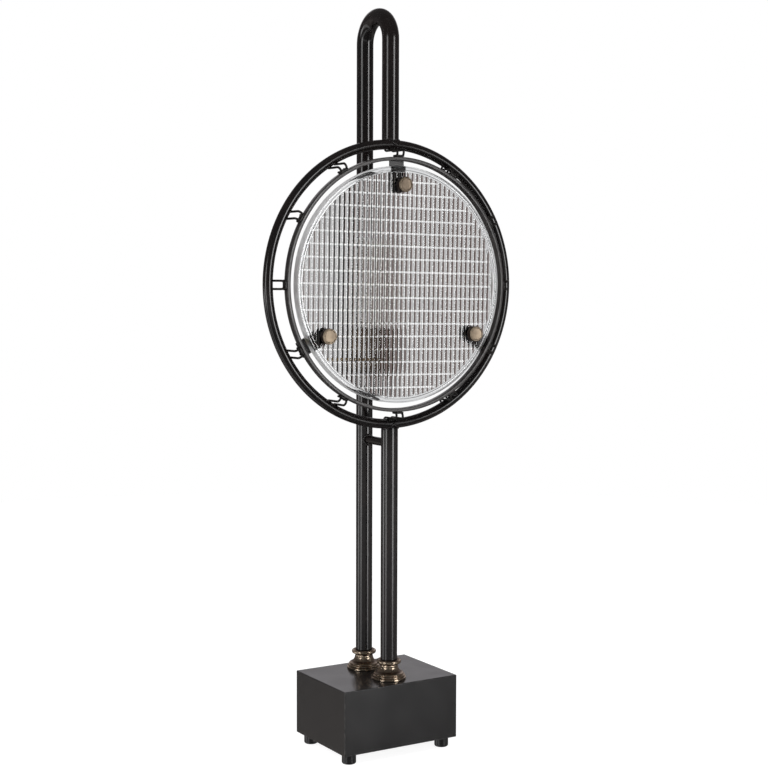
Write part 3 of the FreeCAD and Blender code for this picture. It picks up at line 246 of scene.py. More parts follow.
def blended(tree, mask, first, second):
    """Colour between two by a mask."""
    made = put(tree, "ShaderNodeMix", data_type="RGBA")
    for number, given in ((0, mask), (6, first), (7, second)):
        if isinstance(given, bpy.types.NodeSocket):
            tree.links.new(given, made.inputs[number])
        else:
            made.inputs[number].default_value = given
    return made.outputs[2]


def new_group(name, inputs, outputs):
    """Empty shader group with named inputs (name, socket kind, default) and outputs."""
    tree = bpy.data.node_groups.new(name, "ShaderNodeTree")
    for label, kind, default in inputs:
        made = tree.interface.new_socket(label, in_out="INPUT", socket_type=kind)
        if default is not None:
            made.default_value = default
    for label, kind in outputs:
        tree.interface.new_socket(label, in_out="OUTPUT", socket_type=kind)
    return tree, tree.nodes.new("NodeGroupInput"), tree.nodes.new("NodeGroupOutput")


def cloudy_group():
    """Soft patches: noise of a scale, pulled into a mask from 0 to 1."""
    tree, given, out = new_group(
        "cloudy_patches",
        [("Scale", "NodeSocketFloat", 20.0), ("Sharpness", "NodeSocketFloat", 0.25)],
        [("Mask", "NodeSocketFloat")],
    )
    place = put(tree, "ShaderNodeTexCoord").outputs["Object"]
    noise = put(
        tree,
        "ShaderNodeTexNoise",
        {"Vector": place, "Scale": given.outputs["Scale"], "Detail": 5.0, "Roughness": 0.55},
    )
    low = maths(tree, "SUBTRACT", 0.5, given.outputs["Sharpness"])
    high = maths(tree, "ADD", 0.5, given.outputs["Sharpness"])
    tree.links.new(ranged(tree, noise.outputs[0], low, high), out.inputs["Mask"])
    return tree


def edge_group():
    """Edges rubbed bare: where a rounded normal leaves the true one, broken up by noise."""
    tree, given, out = new_group(
        "rubbed_edges",
        [("Width", "NodeSocketFloat", 0.001), ("Amount", "NodeSocketFloat", 1.0)],
        [("Mask", "NodeSocketFloat")],
    )
    bevel = put(tree, "ShaderNodeBevel", {"Radius": given.outputs["Width"]}, samples=4)
    true = put(tree, "ShaderNodeNewGeometry").outputs["Normal"]
    dot = put(tree, "ShaderNodeVectorMath", {0: bevel.outputs[0], 1: true}, operation="DOT_PRODUCT")
    edge = ranged(tree, dot.outputs["Value"], 0.995, 0.9)
    place = put(tree, "ShaderNodeTexCoord").outputs["Object"]
    noise = put(tree, "ShaderNodeTexNoise", {"Vector": place, "Scale": 160.0, "Detail": 4.0})
    broken = ranged(tree, noise.outputs[0], 0.4, 0.62)
    mask = maths(tree, "MULTIPLY", maths(tree, "MULTIPLY", edge, broken), given.outputs["Amount"])
    tree.links.new(mask, out.inputs["Mask"])
    return tree


def grain_group():
    """Fine grain: a height for bumps, with a value for roughness between two limits."""
    tree, given, out = new_group(
        "fine_grain",
        [
            ("Scale", "NodeSocketFloat", 900.0),
            ("Smooth", "NodeSocketFloat", 0.25),
            ("Rough", "NodeSocketFloat", 0.35),
        ],
        [("Height", "NodeSocketFloat"), ("Roughness", "NodeSocketFloat")],
    )
    place = put(tree, "ShaderNodeTexCoord").outputs["Object"]
    fine = put(
        tree,
        "ShaderNodeTexNoise",
        {"Vector": place, "Scale": given.outputs["Scale"], "Detail": 3.0},
    )
    broad = put(tree, "ShaderNodeTexNoise", {"Vector": place, "Scale": 35.0, "Detail": 4.0})
    limits = {3: given.outputs["Smooth"], 4: given.outputs["Rough"]}
    spread = put(tree, "ShaderNodeMapRange", {0: broad.outputs[0], 1: 0.35, 2: 0.65, **limits})
    tree.links.new(fine.outputs[0], out.inputs["Height"])
    tree.links.new(spread.outputs[0], out.inputs["Roughness"])
    return tree


CLOUDY = cloudy_group()
RUBBED = edge_group()
GRAIN = grain_group()


def grouped(tree, group, inputs=None):
    """One of the shared effects, with its own values."""
    made = tree.nodes.new("ShaderNodeGroup")
    made.node_tree = group
    for key, given in (inputs or {}).items():
        made.inputs[key].default_value = given
    return made


def new_material(name):
    """Material with its tree emptied, its Principled shader and its output."""
    material = bpy.data.materials.new(name)
    material.use_nodes = True
    tree = material.node_tree
    tree.nodes.clear()
    shader = tree.nodes.new("ShaderNodeBsdfPrincipled")
    out = tree.nodes.new("ShaderNodeOutputMaterial")
    tree.links.new(shader.outputs[0], out.inputs[0])
    return material, tree, shader


def finish(
    name,
    colour,
    patch,
    bare=None,
    metallic=0.0,
    smooth=0.25,
    rough=0.35,
    patch_scale=20.0,
    grain_scale=900.0,
    bump=0.02,
    wear=0.0,
    specular=0.5,
    wear_width=0.001,
):
    """Opaque finish: two tones in soft patches, rubbed edges, and grain in roughness and bump."""
    material, tree, shader = new_material(name)
    patches = grouped(tree, CLOUDY, {"Scale": patch_scale})
    tone = blended(tree, patches.outputs["Mask"], (*colour, 1), (*patch, 1))
    if bare is not None:
        worn = grouped(tree, RUBBED, {"Width": wear_width, "Amount": wear})
        tone = blended(tree, worn.outputs["Mask"], tone, (*bare, 1))
    grain = grouped(tree, GRAIN, {"Scale": grain_scale, "Smooth": smooth, "Rough": rough})
    relief = put(
        tree,
        "ShaderNodeBump",
        {"Strength": bump, "Distance": 0.0005, "Height": grain.outputs["Height"]},
    )
    tree.links.new(tone, shader.inputs["Base Color"])
    tree.links.new(grain.outputs["Roughness"], shader.inputs["Roughness"])
    tree.links.new(relief.outputs[0], shader.inputs["Normal"])
    shader.inputs["Metallic"].default_value = metallic
    shader.inputs["Specular IOR Level"].default_value = specular
    return material


def antique_brass(name, bright, dark, smooth=0.16, rough=0.24):
    """Turned brass, brown in the recesses that an attribute marks and darker in colour high on the
    lamp.
    """
    material, tree, shader = new_material(name)
    recess = put(tree, "ShaderNodeAttribute", attribute_name="recess").outputs["Fac"]
    patches = grouped(tree, CLOUDY, {"Scale": 90.0, "Sharpness": 0.2})
    stain = maths(tree, "MULTIPLY", patches.outputs["Mask"], 0.25)
    place = put(tree, "ShaderNodeTexCoord").outputs["Object"]
    height = put(tree, "ShaderNodeSeparateXYZ", {0: place}).outputs[2]
    # Colour darkens up to 0.3 of the way to the dark tone above 0.56 m, which takes in the top
    # knob.
    darker_up_high = ranged(tree, height, 0.56, 0.62, 0.0, 0.3)
    mask = maths(tree, "ADD", maths(tree, "ADD", recess, darker_up_high), stain, clamp=True)
    tree.links.new(blended(tree, mask, (*bright, 1), (*dark, 1)), shader.inputs["Base Color"])
    grain = grouped(tree, GRAIN, {"Scale": 1500.0, "Smooth": smooth, "Rough": rough})
    rough = maths(tree, "ADD", grain.outputs["Roughness"], maths(tree, "MULTIPLY", recess, 0.15))
    tree.links.new(rough, shader.inputs["Roughness"])
    relief = put(
        tree,
        "ShaderNodeBump",
        {"Strength": 0.03, "Distance": 0.0003, "Height": grain.outputs["Height"]},
    )
    tree.links.new(relief.outputs[0], shader.inputs["Normal"])
    shader.inputs["Metallic"].default_value = 1.0
    return material


def lens_glass(name):
    """Pressed glass: grey in the cells, with painted highlights where it turns clear white along
    the flutes' and rows' ridges, ground rim.
    """
    material, tree, shader = new_material(name)
    place = put(tree, "ShaderNodeTexCoord").outputs["Object"]
    settings = {
        "Vector": place,
        "Location": (0, 0, RING_LEVEL * MM),
        "Rotation": (0, -math.radians(PATTERN_TURN), 0),
    }
    pattern = put(tree, "ShaderNodeMapping", settings, vector_type="TEXTURE")
    parts = put(tree, "ShaderNodeSeparateXYZ", {0: pattern.outputs[0]})

    def ridges(coordinate, start, pitch, light):
        """Mask for the painted highlight lines: 1 along the ridges, falling to 0 between two
        distances from them in millimetres.
        """
        offset = maths(tree, "SUBTRACT", coordinate, start * MM)
        share = maths(tree, "FRACT", maths(tree, "MULTIPLY", offset, 1 / (pitch * MM)))
        middle = maths(tree, "ABSOLUTE", maths(tree, "SUBTRACT", share, 0.5))
        near = maths(tree, "SUBTRACT", 0.5, middle)
        return ranged(tree, near, light[1] / pitch, light[0] / pitch)

    flutes = ridges(parts.outputs[0], FLUTE_START, FLUTE_PITCH, FLUTE_LIGHT)
    rows = ridges(parts.outputs[2], 0.0, ROW_PITCH, ROW_LIGHT)
    half_way = (GLASS_BACK + GLASS_FRONT) / 2
    front = maths(tree, "LESS_THAN", parts.outputs[1], (RING_Y - half_way) * MM)
    across = maths(tree, "MULTIPLY", parts.outputs[0], parts.outputs[0])
    up = maths(tree, "MULTIPLY", parts.outputs[2], parts.outputs[2])
    radius = maths(tree, "SQRT", maths(tree, "ADD", across, up))
    margin = maths(tree, "GREATER_THAN", radius, FIELD_RADIUS * MM)
    clouds = grouped(tree, CLOUDY, {"Scale": 30.0}).outputs["Mask"]
    smoky = blended(tree, clouds, (0.36, 0.363, 0.366, 1), (0.42, 0.42, 0.42, 1))
    # Painted highlights: the flutes' and rows' ridges are coloured clear white as bright lines
    # against the grey cells.
    front_tone_and_highlights = blended(tree, flutes, smoky, (1.0, 1.0, 1.0, 1))
    back_tone_and_highlights = blended(tree, rows, (0.62, 0.62, 0.62, 1), (1.0, 1.0, 1.0, 1))
    tone = blended(tree, front, back_tone_and_highlights, front_tone_and_highlights)
    colour = blended(tree, margin, tone, (0.6, 0.605, 0.61, 1))
    tree.links.new(colour, shader.inputs["Base Color"])
    start, end = (GLASS_RADIUS - 0.9) * MM, (GLASS_RADIUS - 0.4) * MM
    ground = ranged(tree, radius, start, end, 0.02, 0.45)
    tree.links.new(ground, shader.inputs["Roughness"])
    shader.inputs["IOR"].default_value = 1.5
    shader.inputs["Transmission Weight"].default_value = 1.0
    return material


def clear_glass(name, colour, roughness):
    """Thin clear glass."""
    material, tree, shader = new_material(name)
    patches = grouped(tree, CLOUDY, {"Scale": 40.0})
    spread = ranged(tree, patches.outputs["Mask"], 0.0, 1.0, roughness, roughness * 2)
    tree.links.new(spread, shader.inputs["Roughness"])
    shader.inputs["Base Color"].default_value = (*colour, 1)
    shader.inputs["IOR"].default_value = 1.45
    shader.inputs["Transmission Weight"].default_value = 1.0
    return material


FINISHES = {
    "frame_paint": finish(
        "black_enamel", (0.005, 0.0046, 0.0048), (0.009, 0.0066, 0.0062), bare=(0.06, 0.045, 0.035),
        smooth=0.14, rough=0.19, bump=0.005, wear=0.25, specular=0.45,
    ),
    "base_paint": finish(
        "charcoal_enamel", (0.0075, 0.0073, 0.0075), (0.0095, 0.0088, 0.009),
        bare=(0.16, 0.15, 0.145), smooth=0.2, rough=0.24, patch_scale=14.0, bump=0.012, wear=0.8,
        specular=0.5,
    ),
    "ring_paint": finish(
        "gunmetal_enamel", (0.022, 0.021, 0.021), (0.034, 0.03, 0.029), bare=(0.14, 0.13, 0.12),
        smooth=0.25, rough=0.38, bump=0.04, wear=0.5,
    ),
    "clip_steel": finish(
        "blackened_spring_steel", (0.005, 0.0045, 0.0042), (0.009, 0.0075, 0.0068),
        bare=(0.05, 0.04, 0.033), smooth=0.35, rough=0.5, wear=0.3, wear_width=0.0004, specular=0.3,
    ),
    "collar_brass": antique_brass(
        "antique_brass_collar", (0.66, 0.53, 0.4), (0.17, 0.12, 0.09), smooth=0.2, rough=0.3
    ),
    "knob_brass": antique_brass(
        "antique_brass_knob", (0.56, 0.45, 0.33), (0.035, 0.024, 0.02), smooth=0.42, rough=0.55
    ),
    "stud_brass": finish(
        "plain_brass", (0.5, 0.38, 0.2), (0.4, 0.28, 0.15), metallic=1.0, smooth=0.25, rough=0.4,
    ),
    "socket_brass": finish(
        "lampholder_brass", (0.2, 0.145, 0.1), (0.11, 0.08, 0.06), bare=(0.5, 0.38, 0.24),
        metallic=1.0, smooth=0.25, rough=0.4, patch_scale=60.0, wear=0.5,
    ),
    "key_brass": finish(
        "key_brass", (0.66, 0.5, 0.27), (0.5, 0.36, 0.18), metallic=1.0, smooth=0.15, rough=0.3,
    ),
    "contact_brass": finish(
        "contact_brass", (0.6, 0.45, 0.25), (0.5, 0.36, 0.2), metallic=1.0, smooth=0.2, rough=0.35,
    ),
    "foot_rubber": finish(
        "black_rubber", (0.006, 0.006, 0.0065), (0.011, 0.0105, 0.011), smooth=0.18, rough=0.28,
        bump=0.03, grain_scale=1400.0,
    ),
    "washer_rubber": finish(
        "washer_rubber", (0.02, 0.02, 0.02), (0.035, 0.034, 0.033), smooth=0.5, rough=0.7, bump=0.1,
    ),
    "bush_plastic": finish(
        "bush_plastic", (0.012, 0.012, 0.012), (0.02, 0.02, 0.02), smooth=0.35, rough=0.5,
    ),
    "ballast_iron": finish(
        "sawn_iron", (0.1, 0.095, 0.09), (0.16, 0.13, 0.11), metallic=0.8, smooth=0.5, rough=0.75,
        bump=0.3, grain_scale=400.0,
    ),
    "plain_steel": finish(
        "zinc_steel", (0.5, 0.5, 0.5), (0.4, 0.4, 0.39), metallic=1.0, smooth=0.3, rough=0.45,
    ),
    "sleeve_fibre": finish(
        "fibre_sleeve", (0.16, 0.09, 0.05), (0.1, 0.055, 0.03), smooth=0.6, rough=0.8, bump=0.2,
    ),
    "core_ceramic": finish(
        "glazed_core", (0.72, 0.7, 0.64), (0.66, 0.63, 0.57), smooth=0.12, rough=0.2,
    ),
    "cap_aluminium": finish(
        "bulb_cap_aluminium", (0.75, 0.75, 0.74), (0.62, 0.61, 0.6), metallic=1.0, smooth=0.25,
        rough=0.4,
    ),
    "filament_steel": finish(
        "filament_wire", (0.32, 0.3, 0.28), (0.24, 0.22, 0.2), metallic=1.0, smooth=0.3, rough=0.45,
    ),
    "lens_glass": lens_glass("pressed_lens_glass"),
    "bulb_glass": clear_glass("bulb_envelope_glass", (0.98, 0.97, 0.95), 0.01),
}

SLOT_OF = {s["node"]: s["material_slot"] for s in frame["record"]["subparts"]}
for label, thing in frame["nodes"].items():
    thing.data.materials.clear()
    thing.data.materials.append(FINISHES[SLOT_OF[label]])


# Posts, tie and ring
def hairpin_tube():
    """Tube up the rear post, round the bend and down to the ring.

    The bend is (0, R cos a, level + R sin a) for a from 0 to a half turn, and the limb's end
    draws in like a quarter ellipse.
    """
    bend = np.linspace(0, math.pi, 65)
    round_part = np.stack([0 * bend, POST_Y * np.cos(bend), BEND_LEVEL + POST_Y * np.sin(bend)], -1)
    rise = np.linspace(BLOCK_TOP, BEND_LEVEL, 12, endpoint=False)
    rear = np.stack([0 * rise, 0 * rise + POST_Y, rise], -1)
    fall = np.linspace(BEND_LEVEL, LIMB_DRAWN, 6)[1:]
    front = np.stack([0 * fall, 0 * fall - POST_Y, fall], -1)
    end = np.linspace(0, 1, 9)[1:]
    level = LIMB_DRAWN - DRAW_LENGTH * np.sin(end * math.pi / 2)
    tip = np.stack([0 * end, 0 * end - POST_Y, level], -1)
    path = np.vstack([rear, round_part, front, tip])
    radii = np.full(len(path), POST_RADIUS - BOX_CLEARANCE)
    radii[-len(end):] = POST_RADIUS - DRAW_LOSS + DRAW_LOSS * np.cos(end * math.pi / 2)
    return pipe(path, radii, (1, 0, 0), around=64)


def front_tube():
    """Straight tube whose top draws in under the ring like a quarter ellipse."""
    rise = np.linspace(BLOCK_TOP, POST_DRAWN, 10)
    end = np.linspace(0, 1, 9)[1:]
    level = np.concatenate([rise, POST_DRAWN + DRAW_LENGTH * np.sin(end * math.pi / 2)])
    path = np.stack([0 * level, 0 * level - POST_Y, level], -1)
    drawn = POST_RADIUS - DRAW_LOSS + DRAW_LOSS * np.cos(end * math.pi / 2)
    radii = np.concatenate([0 * rise + POST_RADIUS, drawn])
    return pipe(path, radii, (1, 0, 0), around=64)


def ring_weld(side):
    """Bead where a post meets the ring, above (side 1) or below (side -1).

    At angle t round the tube the bead sits at x = R sin t, y = post - R cos t, on the bar's
    surface there, and its thickness ripples as it tapers to both ends.
    """
    t = np.linspace(-math.radians(98), math.radians(98), 72)
    x = POST_RADIUS * np.sin(t)
    y = -POST_Y - POST_RADIUS * np.cos(t)
    bar = np.sqrt(np.maximum(RING_BAR**2 - (y - RING_Y) ** 2, 0))
    z = RING_LEVEL + side * (np.sqrt(RING_RADIUS**2 - x**2) + bar)
    taper = np.sqrt(np.clip(1 - (t / math.radians(100)) ** 2, 0, 1))
    thick = taper * (1.15 + 0.16 * np.sin(t * 40)) + 0.15
    return pipe(np.stack([x, y, z], -1), thick, (0, 0.2, side), around=12)


def tie_bar():
    """Round tie between the posts, its ends run into their walls."""
    path = np.array([[0, y, TIE_LEVEL] for y in np.linspace(-POST_Y + 4, POST_Y - 4, 9)])
    return pipe(path, 4.75, (1, 0, 0), around=40)


def tie_weld(side, thick):
    """Bead round an end of the tie.

    At angle t round the tie it sits at x = r cos t and z = level + r sin t on the post's
    wall, where y = post - sqrt(R^2 - x^2).
    """
    t = np.linspace(0, 2 * math.pi, 72, endpoint=False)
    r = 5.3
    x = r * np.cos(t)
    y = side * (POST_Y - np.sqrt((POST_RADIUS + 0.3) ** 2 - x**2))
    path = np.stack([x, y, TIE_LEVEL + r * np.sin(t)], -1)
    return pipe(path, thick * (1 + 0.12 * np.sin(14 * t)), (0, 1, 0), around=12, joined=True)


def torus(radius, bar, around=288, section=40):
    """Round bar bent to a ring: ((R + r cos b) cos a, (R + r cos b) sin a, r sin b)."""
    b = np.linspace(0, 2 * math.pi, section, endpoint=False)
    return turned(np.stack([radius + bar * np.cos(b), bar * np.sin(b)], -1), around)


enamel = FINISHES["frame_paint"]
piece("hairpin_tube", [hairpin_tube()], "frame", enamel, ("hairpin_post",))
piece("front_tube", [front_tube()], "frame", enamel, ("front_post",))
piece("ring_welds", [ring_weld(1), ring_weld(-1)], "frame", enamel)
piece(
    "welded_tie",
    [tie_bar(), tie_weld(1, 1.7), tie_weld(-1, 1.2)],
    "frame",
    enamel,
    ("stretcher",),
)
ring_bar = on_lens(torus(RING_RADIUS, RING_BAR))
piece("ring_bar", [ring_bar], "frame", enamel, ("outer_ring",))


# Turned brass collars
COLLAR = [
    (9.55, 0), (18.9, 0, 0.5), (19.5, 1.3, 0.5), (18.9, 2.6), (18.0, 2.9), (18.0, 3.2, 0.5),
    (18.2, 4.6, 0.2), (17.3, 5.1), (16.9, 5.4, 0.5), (16.7, 6.7, 0.3), (15.8, 7.3, -0.3),
    (10.6, 13.9, -0.2), (10.2, 16.3), (10.2, 16.9, -0.3), (12.3, 17.6, 0.5), (13.9, 19.4, 0.5),
    (12.9, 21.6, 0.3), (11.6, 22.0), (11.0, 21.4), (9.55, 20.6),
]


def recess_of(profile):
    """How far each point of a profile lies inside the widest radius within 1.6 mm of its height."""
    height = np.abs(profile[:, None, 1] - profile[None, :, 1])
    widest = np.where(height < 1.6, profile[None, :, 0], 0).max(1)
    return np.clip((widest - profile[:, 0]) / 3.4, 0, 1)


def collar(label, y, around=128):
    """Collar turned round a post's foot, with its recesses marked for the patina."""
    profile = outline(COLLAR, 10)
    shell = moved(turned(profile, around), (0, y, BLOCK_TOP))
    thing = piece(
        label + "_turned", [shell], "frame", FINISHES["collar_brass"], (label,), 50
    )
    marks = thing.data.attributes.new("recess", "FLOAT", "POINT")
    marks.data.foreach_set("value", np.repeat(recess_of(profile), around))


collar("front_collar", -POST_Y)
collar("rear_collar", POST_Y)


# Inner ring, clips and knobs
def inner_band():
    """Flat band with eased edges, 4 mm across and 8 mm deep."""
    corners = [
        (136.6, 10.4, 0.4), (137.0, 10), (140.2, 10, 0.4), (140.6, 10.4),
        (140.6, 17.2, 0.4), (139.8, 18), (137.4, 18, 0.4), (136.6, 17.2),
    ]
    return turned(outline(corners, 4), 288)


def eased_box(low, high, ease, power=6.0):
    """Box with soft edges.

    A ball's directions are stretched until |x|^p + |y|^p + |z|^p = 1, then scaled to the box.
    """
    a = np.linspace(0, 2 * math.pi, 48, endpoint=False)[None, :]
    b = np.linspace(-math.pi / 2, math.pi / 2, 26)[1:-1][:, None]
    ball = np.stack([np.cos(b) * np.cos(a), np.cos(b) * np.sin(a), np.sin(b) + 0 * a], -1)
    size = (np.abs(ball) ** power).sum(-1, keepdims=True) ** (-1 / power)
    low, high = np.array(low, float), np.array(high, float)
    return skin((low + high) / 2 + ball * size * (high - low) / 2 * ease)


def clip():
    """One clip on the lens axis's +X side: two wires and the pad that joins them.

    Each wire starts behind the outer ring, turns a quarter circle to run forward along the
    ring's inside, curls through a half circle and comes back to the pad. The pair draws a
    little together towards the pad.
    """
    outer, inner, reach, tail, bend = 148.3, 141.8, 14.2, -8.5, 4.0
    hook = np.linspace(-math.pi / 2, -math.pi, 13)
    curl = np.linspace(0, math.pi, 25)
    middle, curl_radius = (outer + inner) / 2, (outer - inner) / 2
    run = np.linspace(tail + bend, reach, 7)[1:-1]
    back = np.linspace(reach, 9.6, 4)[1:]
    x = np.concatenate([
        [outer + bend + 1.2],
        outer + bend + bend * np.cos(hook),
        0 * run + outer,
        middle + curl_radius * np.cos(curl),
        0 * back + inner,
    ])
    z = np.concatenate([
        [tail], tail + bend + bend * np.sin(hook), run, reach + curl_radius * np.sin(curl), back
    ])
    spread = 3.75 + 0.65 * np.clip((x - inner) / (outer - inner), 0, 1)
    shells = []
    for side in (-1, 1):
        path = np.stack([x, side * spread, z], -1)
        shells.append(pipe(path, 1.25, (0, 1, 0), around=14))
    shells.append(eased_box((140.75, -5.7, 10.5), (143.0, 5.7, 17.5), 1.0))
    return shells


def knob(around=288):
    """Thumb knob turned about Z, with a diamond knurl on its band.

    The knurl takes off depth times the nearer of two sets of slanting grooves, each a
    triangle wave of angle plus or minus height.
    """
    profile = outline(
        [
            (2.55, 6.0), (2.55, 0.0), (7.6, 0.0, 0.4), (8.2, 0.5), (8.2, 1.0), (8.75, 1.3),
            (8.75, 1.8), (8.75, 2.4), (8.75, 3.0), (8.75, 3.6), (8.75, 4.2), (8.75, 4.8),
            (8.75, 5.4), (8.75, 5.9), (8.3, 6.2), (8.3, 6.9, 0.4), (7.5, 7.9, 0.3), (6.9, 7.9),
            (6.6, 7.55), (6.0, 7.5), (1.0, 7.5),
        ],
        5,
    )
    shell = turned(profile, around, joined=False)
    points, faces = shell
    r = np.hypot(points[:, 0], points[:, 1])
    angle = np.arctan2(points[:, 1], points[:, 0])
    band = (r > 8.6) & (points[:, 2] > 1.2) & (points[:, 2] < 6.0)
    turns = 36 * angle / (2 * math.pi)
    slant = points[:, 2] * 0.55
    waves = [np.abs((turns + s * slant) % 1 - 0.5) * 2 for s in (-1, 1)]
    cut = 0.42 * (1 - np.minimum(waves[0], waves[1]))
    scale = np.where(band, (r - cut) / np.maximum(r, 1e-6), 1)
    points = points * np.stack([scale, scale, np.ones_like(scale)], -1)
    marks = np.where(band, 1 - 0.4 * np.minimum(waves[0], waves[1]), 0.0)
    # The back, next to the glass, is marked 0.9, nearly as dark as the knurl's grooves.
    marks = np.where(points[:, 2] < 1.1, 0.9, marks)
    marks = np.where((points[:, 2] > 7.3) & (r < 7.0), 0.22, marks)
    return (points, faces), marks


band = on_lens(inner_band())
piece("inner_band", [band], "frame", FINISHES["ring_paint"], ("inner_ring",))
piece(
    "spring_clip_wires",
    [on_lens(shell, angle) for angle in range(0, 360, 30) for shell in clip()],
    "frame",
    FINISHES["clip_steel"],
    ("spring_clips",),
)
for where, degrees in KNOB_ANGLES.items():
    (knob_points, knob_faces), knob_marks = knob()
    shell = moved((knob_points, knob_faces), (0, 0, KNOB_BACK))
    turned_knob = piece(
        f"knurled_knob_{where}",
        [on_lens(shell, degrees, STUD_CIRCLE)],
        f"knob_{where}",
        FINISHES["knob_brass"],
        (f"knob_{where}",),
        50,
    )
    marks = turned_knob.data.attributes.new("recess", "FLOAT", "POINT")
    marks.data.foreach_set("value", knob_marks)


# Pressed glass
def places_across(pitch, start, shares):
    """Ascending places across the field, at the same shares of every rib from the first joint."""
    count = math.ceil(2 * FIELD_RADIUS / pitch) + 2
    first = start - math.ceil((FIELD_RADIUS + start) / pitch) * pitch
    u = (first + pitch * (np.arange(count)[:, None] + np.asarray(shares)[None, :])).ravel()
    low, high = -FIELD_RADIUS + 0.35, FIELD_RADIUS - 0.35
    inside = u[(u > low + 0.2) & (u < high - 0.2)]
    return np.concatenate([[low], inside, [high]])


def field_grid(u, height, span):
    """Half of the lens's field: ribs along one way, cut to a circle.

    Column u runs along the ribs; there v runs from -1 to 1 times the circle's half width at u,
    and the surface stands at height(u). Returns the points as (columns, span, 3).
    """
    v = np.linspace(-1, 1, span)
    width = np.sqrt(FIELD_RADIUS**2 - u**2)
    x = np.repeat(u[:, None], span, 1)
    y = width[:, None] * v[None, :]
    x[0] = -np.sqrt(FIELD_RADIUS**2 - y[0] ** 2)
    x[-1] = np.sqrt(FIELD_RADIUS**2 - y[-1] ** 2)
    return np.stack([x, y, height(x)], -1)


def fluted(x):
    """Front: scoops between ridges, front - depth (1 - (2 f - 1)^2), f the place in a flute."""
    f = ((x - FLUTE_START) / FLUTE_PITCH) % 1
    return GLASS_FRONT - FLUTE_DEPTH * (1 - (2 * f - 1) ** 2)


def ridged(x):
    """Back: flat rows with a roof on each joint.

    The roof is slope r log(1 + exp((w - d) / r)) high, where d is the distance off the joint,
    w the roof's half width and r the rounding of its eaves.
    """
    d = np.abs((x / ROW_PITCH + 0.5) % 1 - 0.5) * ROW_PITCH
    half, eaves = 0.8, 0.12
    return GLASS_BACK + 0.6 - ROW_SLOPE * eaves * np.log1p(np.exp((half - d) / eaves))


def rim_order(columns, span):
    """Numbers of a grid's border points, once round, anticlockwise from the -X side."""
    bottom = np.arange(columns - 1) * span
    right = (columns - 1) * span + np.arange(span - 1)
    top = np.arange(columns - 1, 0, -1) * span + span - 1
    left = np.arange(span - 1, 0, -1)
    return np.concatenate([bottom, right, top, left])


def zipped(points, first, second):
    """Triangles between two loops round the same axis, advancing whichever lags in angle."""
    loops = []
    for loop in (first, second):
        angle = np.unwrap(np.arctan2(points[loop, 1], points[loop, 0]))
        loops.append((loop, angle))
    (a, angle_a), (b, angle_b) = loops
    start = int(np.argmin(np.abs((angle_b - angle_a[0] + math.pi) % (2 * math.pi) - math.pi)))
    b = np.roll(b, -start)
    angle_b = np.unwrap(np.arctan2(points[b, 1], points[b, 0]))
    angle_b = angle_b + 2 * math.pi * round((angle_a[0] - angle_b[0]) / (2 * math.pi))
    ends_a = np.append(angle_a[1:], angle_a[0] + 2 * math.pi)
    ends_b = np.append(angle_b[1:], angle_b[0] + 2 * math.pi)
    is_a = np.concatenate([np.ones(len(a), bool), np.zeros(len(b), bool)])
    order = np.argsort(np.concatenate([ends_a, ends_b]), kind="stable")
    is_a = is_a[order]
    at_a = np.cumsum(is_a) - is_a
    at_b = np.cumsum(~is_a) - ~is_a
    here_a, here_b = a[at_a % len(a)], b[at_b % len(b)]
    next_a, next_b = a[(at_a + 1) % len(a)], b[(at_b + 1) % len(b)]
    third = np.where(is_a, next_a, next_b)
    return np.stack([here_a, third, here_b], -1)


def grid_faces(columns, span):
    """Quads of a grid of points."""
    i = np.arange(columns - 1)[:, None] * span
    j = np.arange(span - 1)[None, :]
    low = i + j
    return np.stack([low, low + span, low + span + 1, low + 1], -1).reshape(-1, 4)


def lens():
    """Closed lens: scooped flutes in front, stepped margin, ground rim, ridged rows behind."""
    scoop = (0, 0.02, 0.05, 0.12, 0.2, 0.3, 0.4, 0.5, 0.6, 0.7, 0.8, 0.88, 0.95, 0.98)
    ridge = (0, 0.007, 0.03, 0.042, 0.05, 0.056, 0.062, 0.069, 0.078, 0.092, 0.12, 0.3, 0.5)
    ridge = ridge + tuple(1 - share for share in ridge[:0:-1] if share < 0.5)
    front = field_grid(places_across(FLUTE_PITCH, FLUTE_START, scoop), fluted, 31)
    back = field_grid(places_across(ROW_PITCH, 0.0, ridge), ridged, 61)
    back = back[..., [1, 0, 2]][:, ::-1]
    rim = np.array([
        [FIELD_RADIUS, 20.9], [124.4, 20.3], [125.4, 20.2], [125.8, 20.8], [126.4, GLASS_FRONT],
        [129.2, GLASS_FRONT], [130.0, 20.75], [GLASS_RADIUS, 20.0], [GLASS_RADIUS, 12.0],
        [130.1, 11.35], [129.4, GLASS_BACK], [124.4, GLASS_BACK],
    ])
    around = 720
    a = np.linspace(-math.pi, math.pi, around, endpoint=False)[None, :]
    r = rim[:, :1]
    bands = np.stack([r * np.cos(a), r * np.sin(a), rim[:, 1:] + 0 * a], -1)
    points = np.vstack([front.reshape(-1, 3), bands.reshape(-1, 3), back.reshape(-1, 3)])
    band_start = front.shape[0] * front.shape[1]
    back_start = band_start + bands.shape[0] * around
    loop_front = rim_order(*front.shape[:2])
    loop_back = back_start + rim_order(*back.shape[:2])
    first_band = band_start + np.arange(around)
    last_band = band_start + (len(rim) - 1) * around + np.arange(around)
    angle = np.arctan2(points[loop_back, 1], points[loop_back, 0])
    if np.mean(np.diff(np.unwrap(angle))) < 0:
        loop_back = loop_back[::-1]
    faces = [
        grid_faces(*front.shape[:2]),
        zipped(points, loop_front, first_band),
        ring_faces(len(rim), around, False) + band_start,
        zipped(points, last_band, loop_back),
        grid_faces(*back.shape[:2]) + back_start,
    ]
    return points, faces


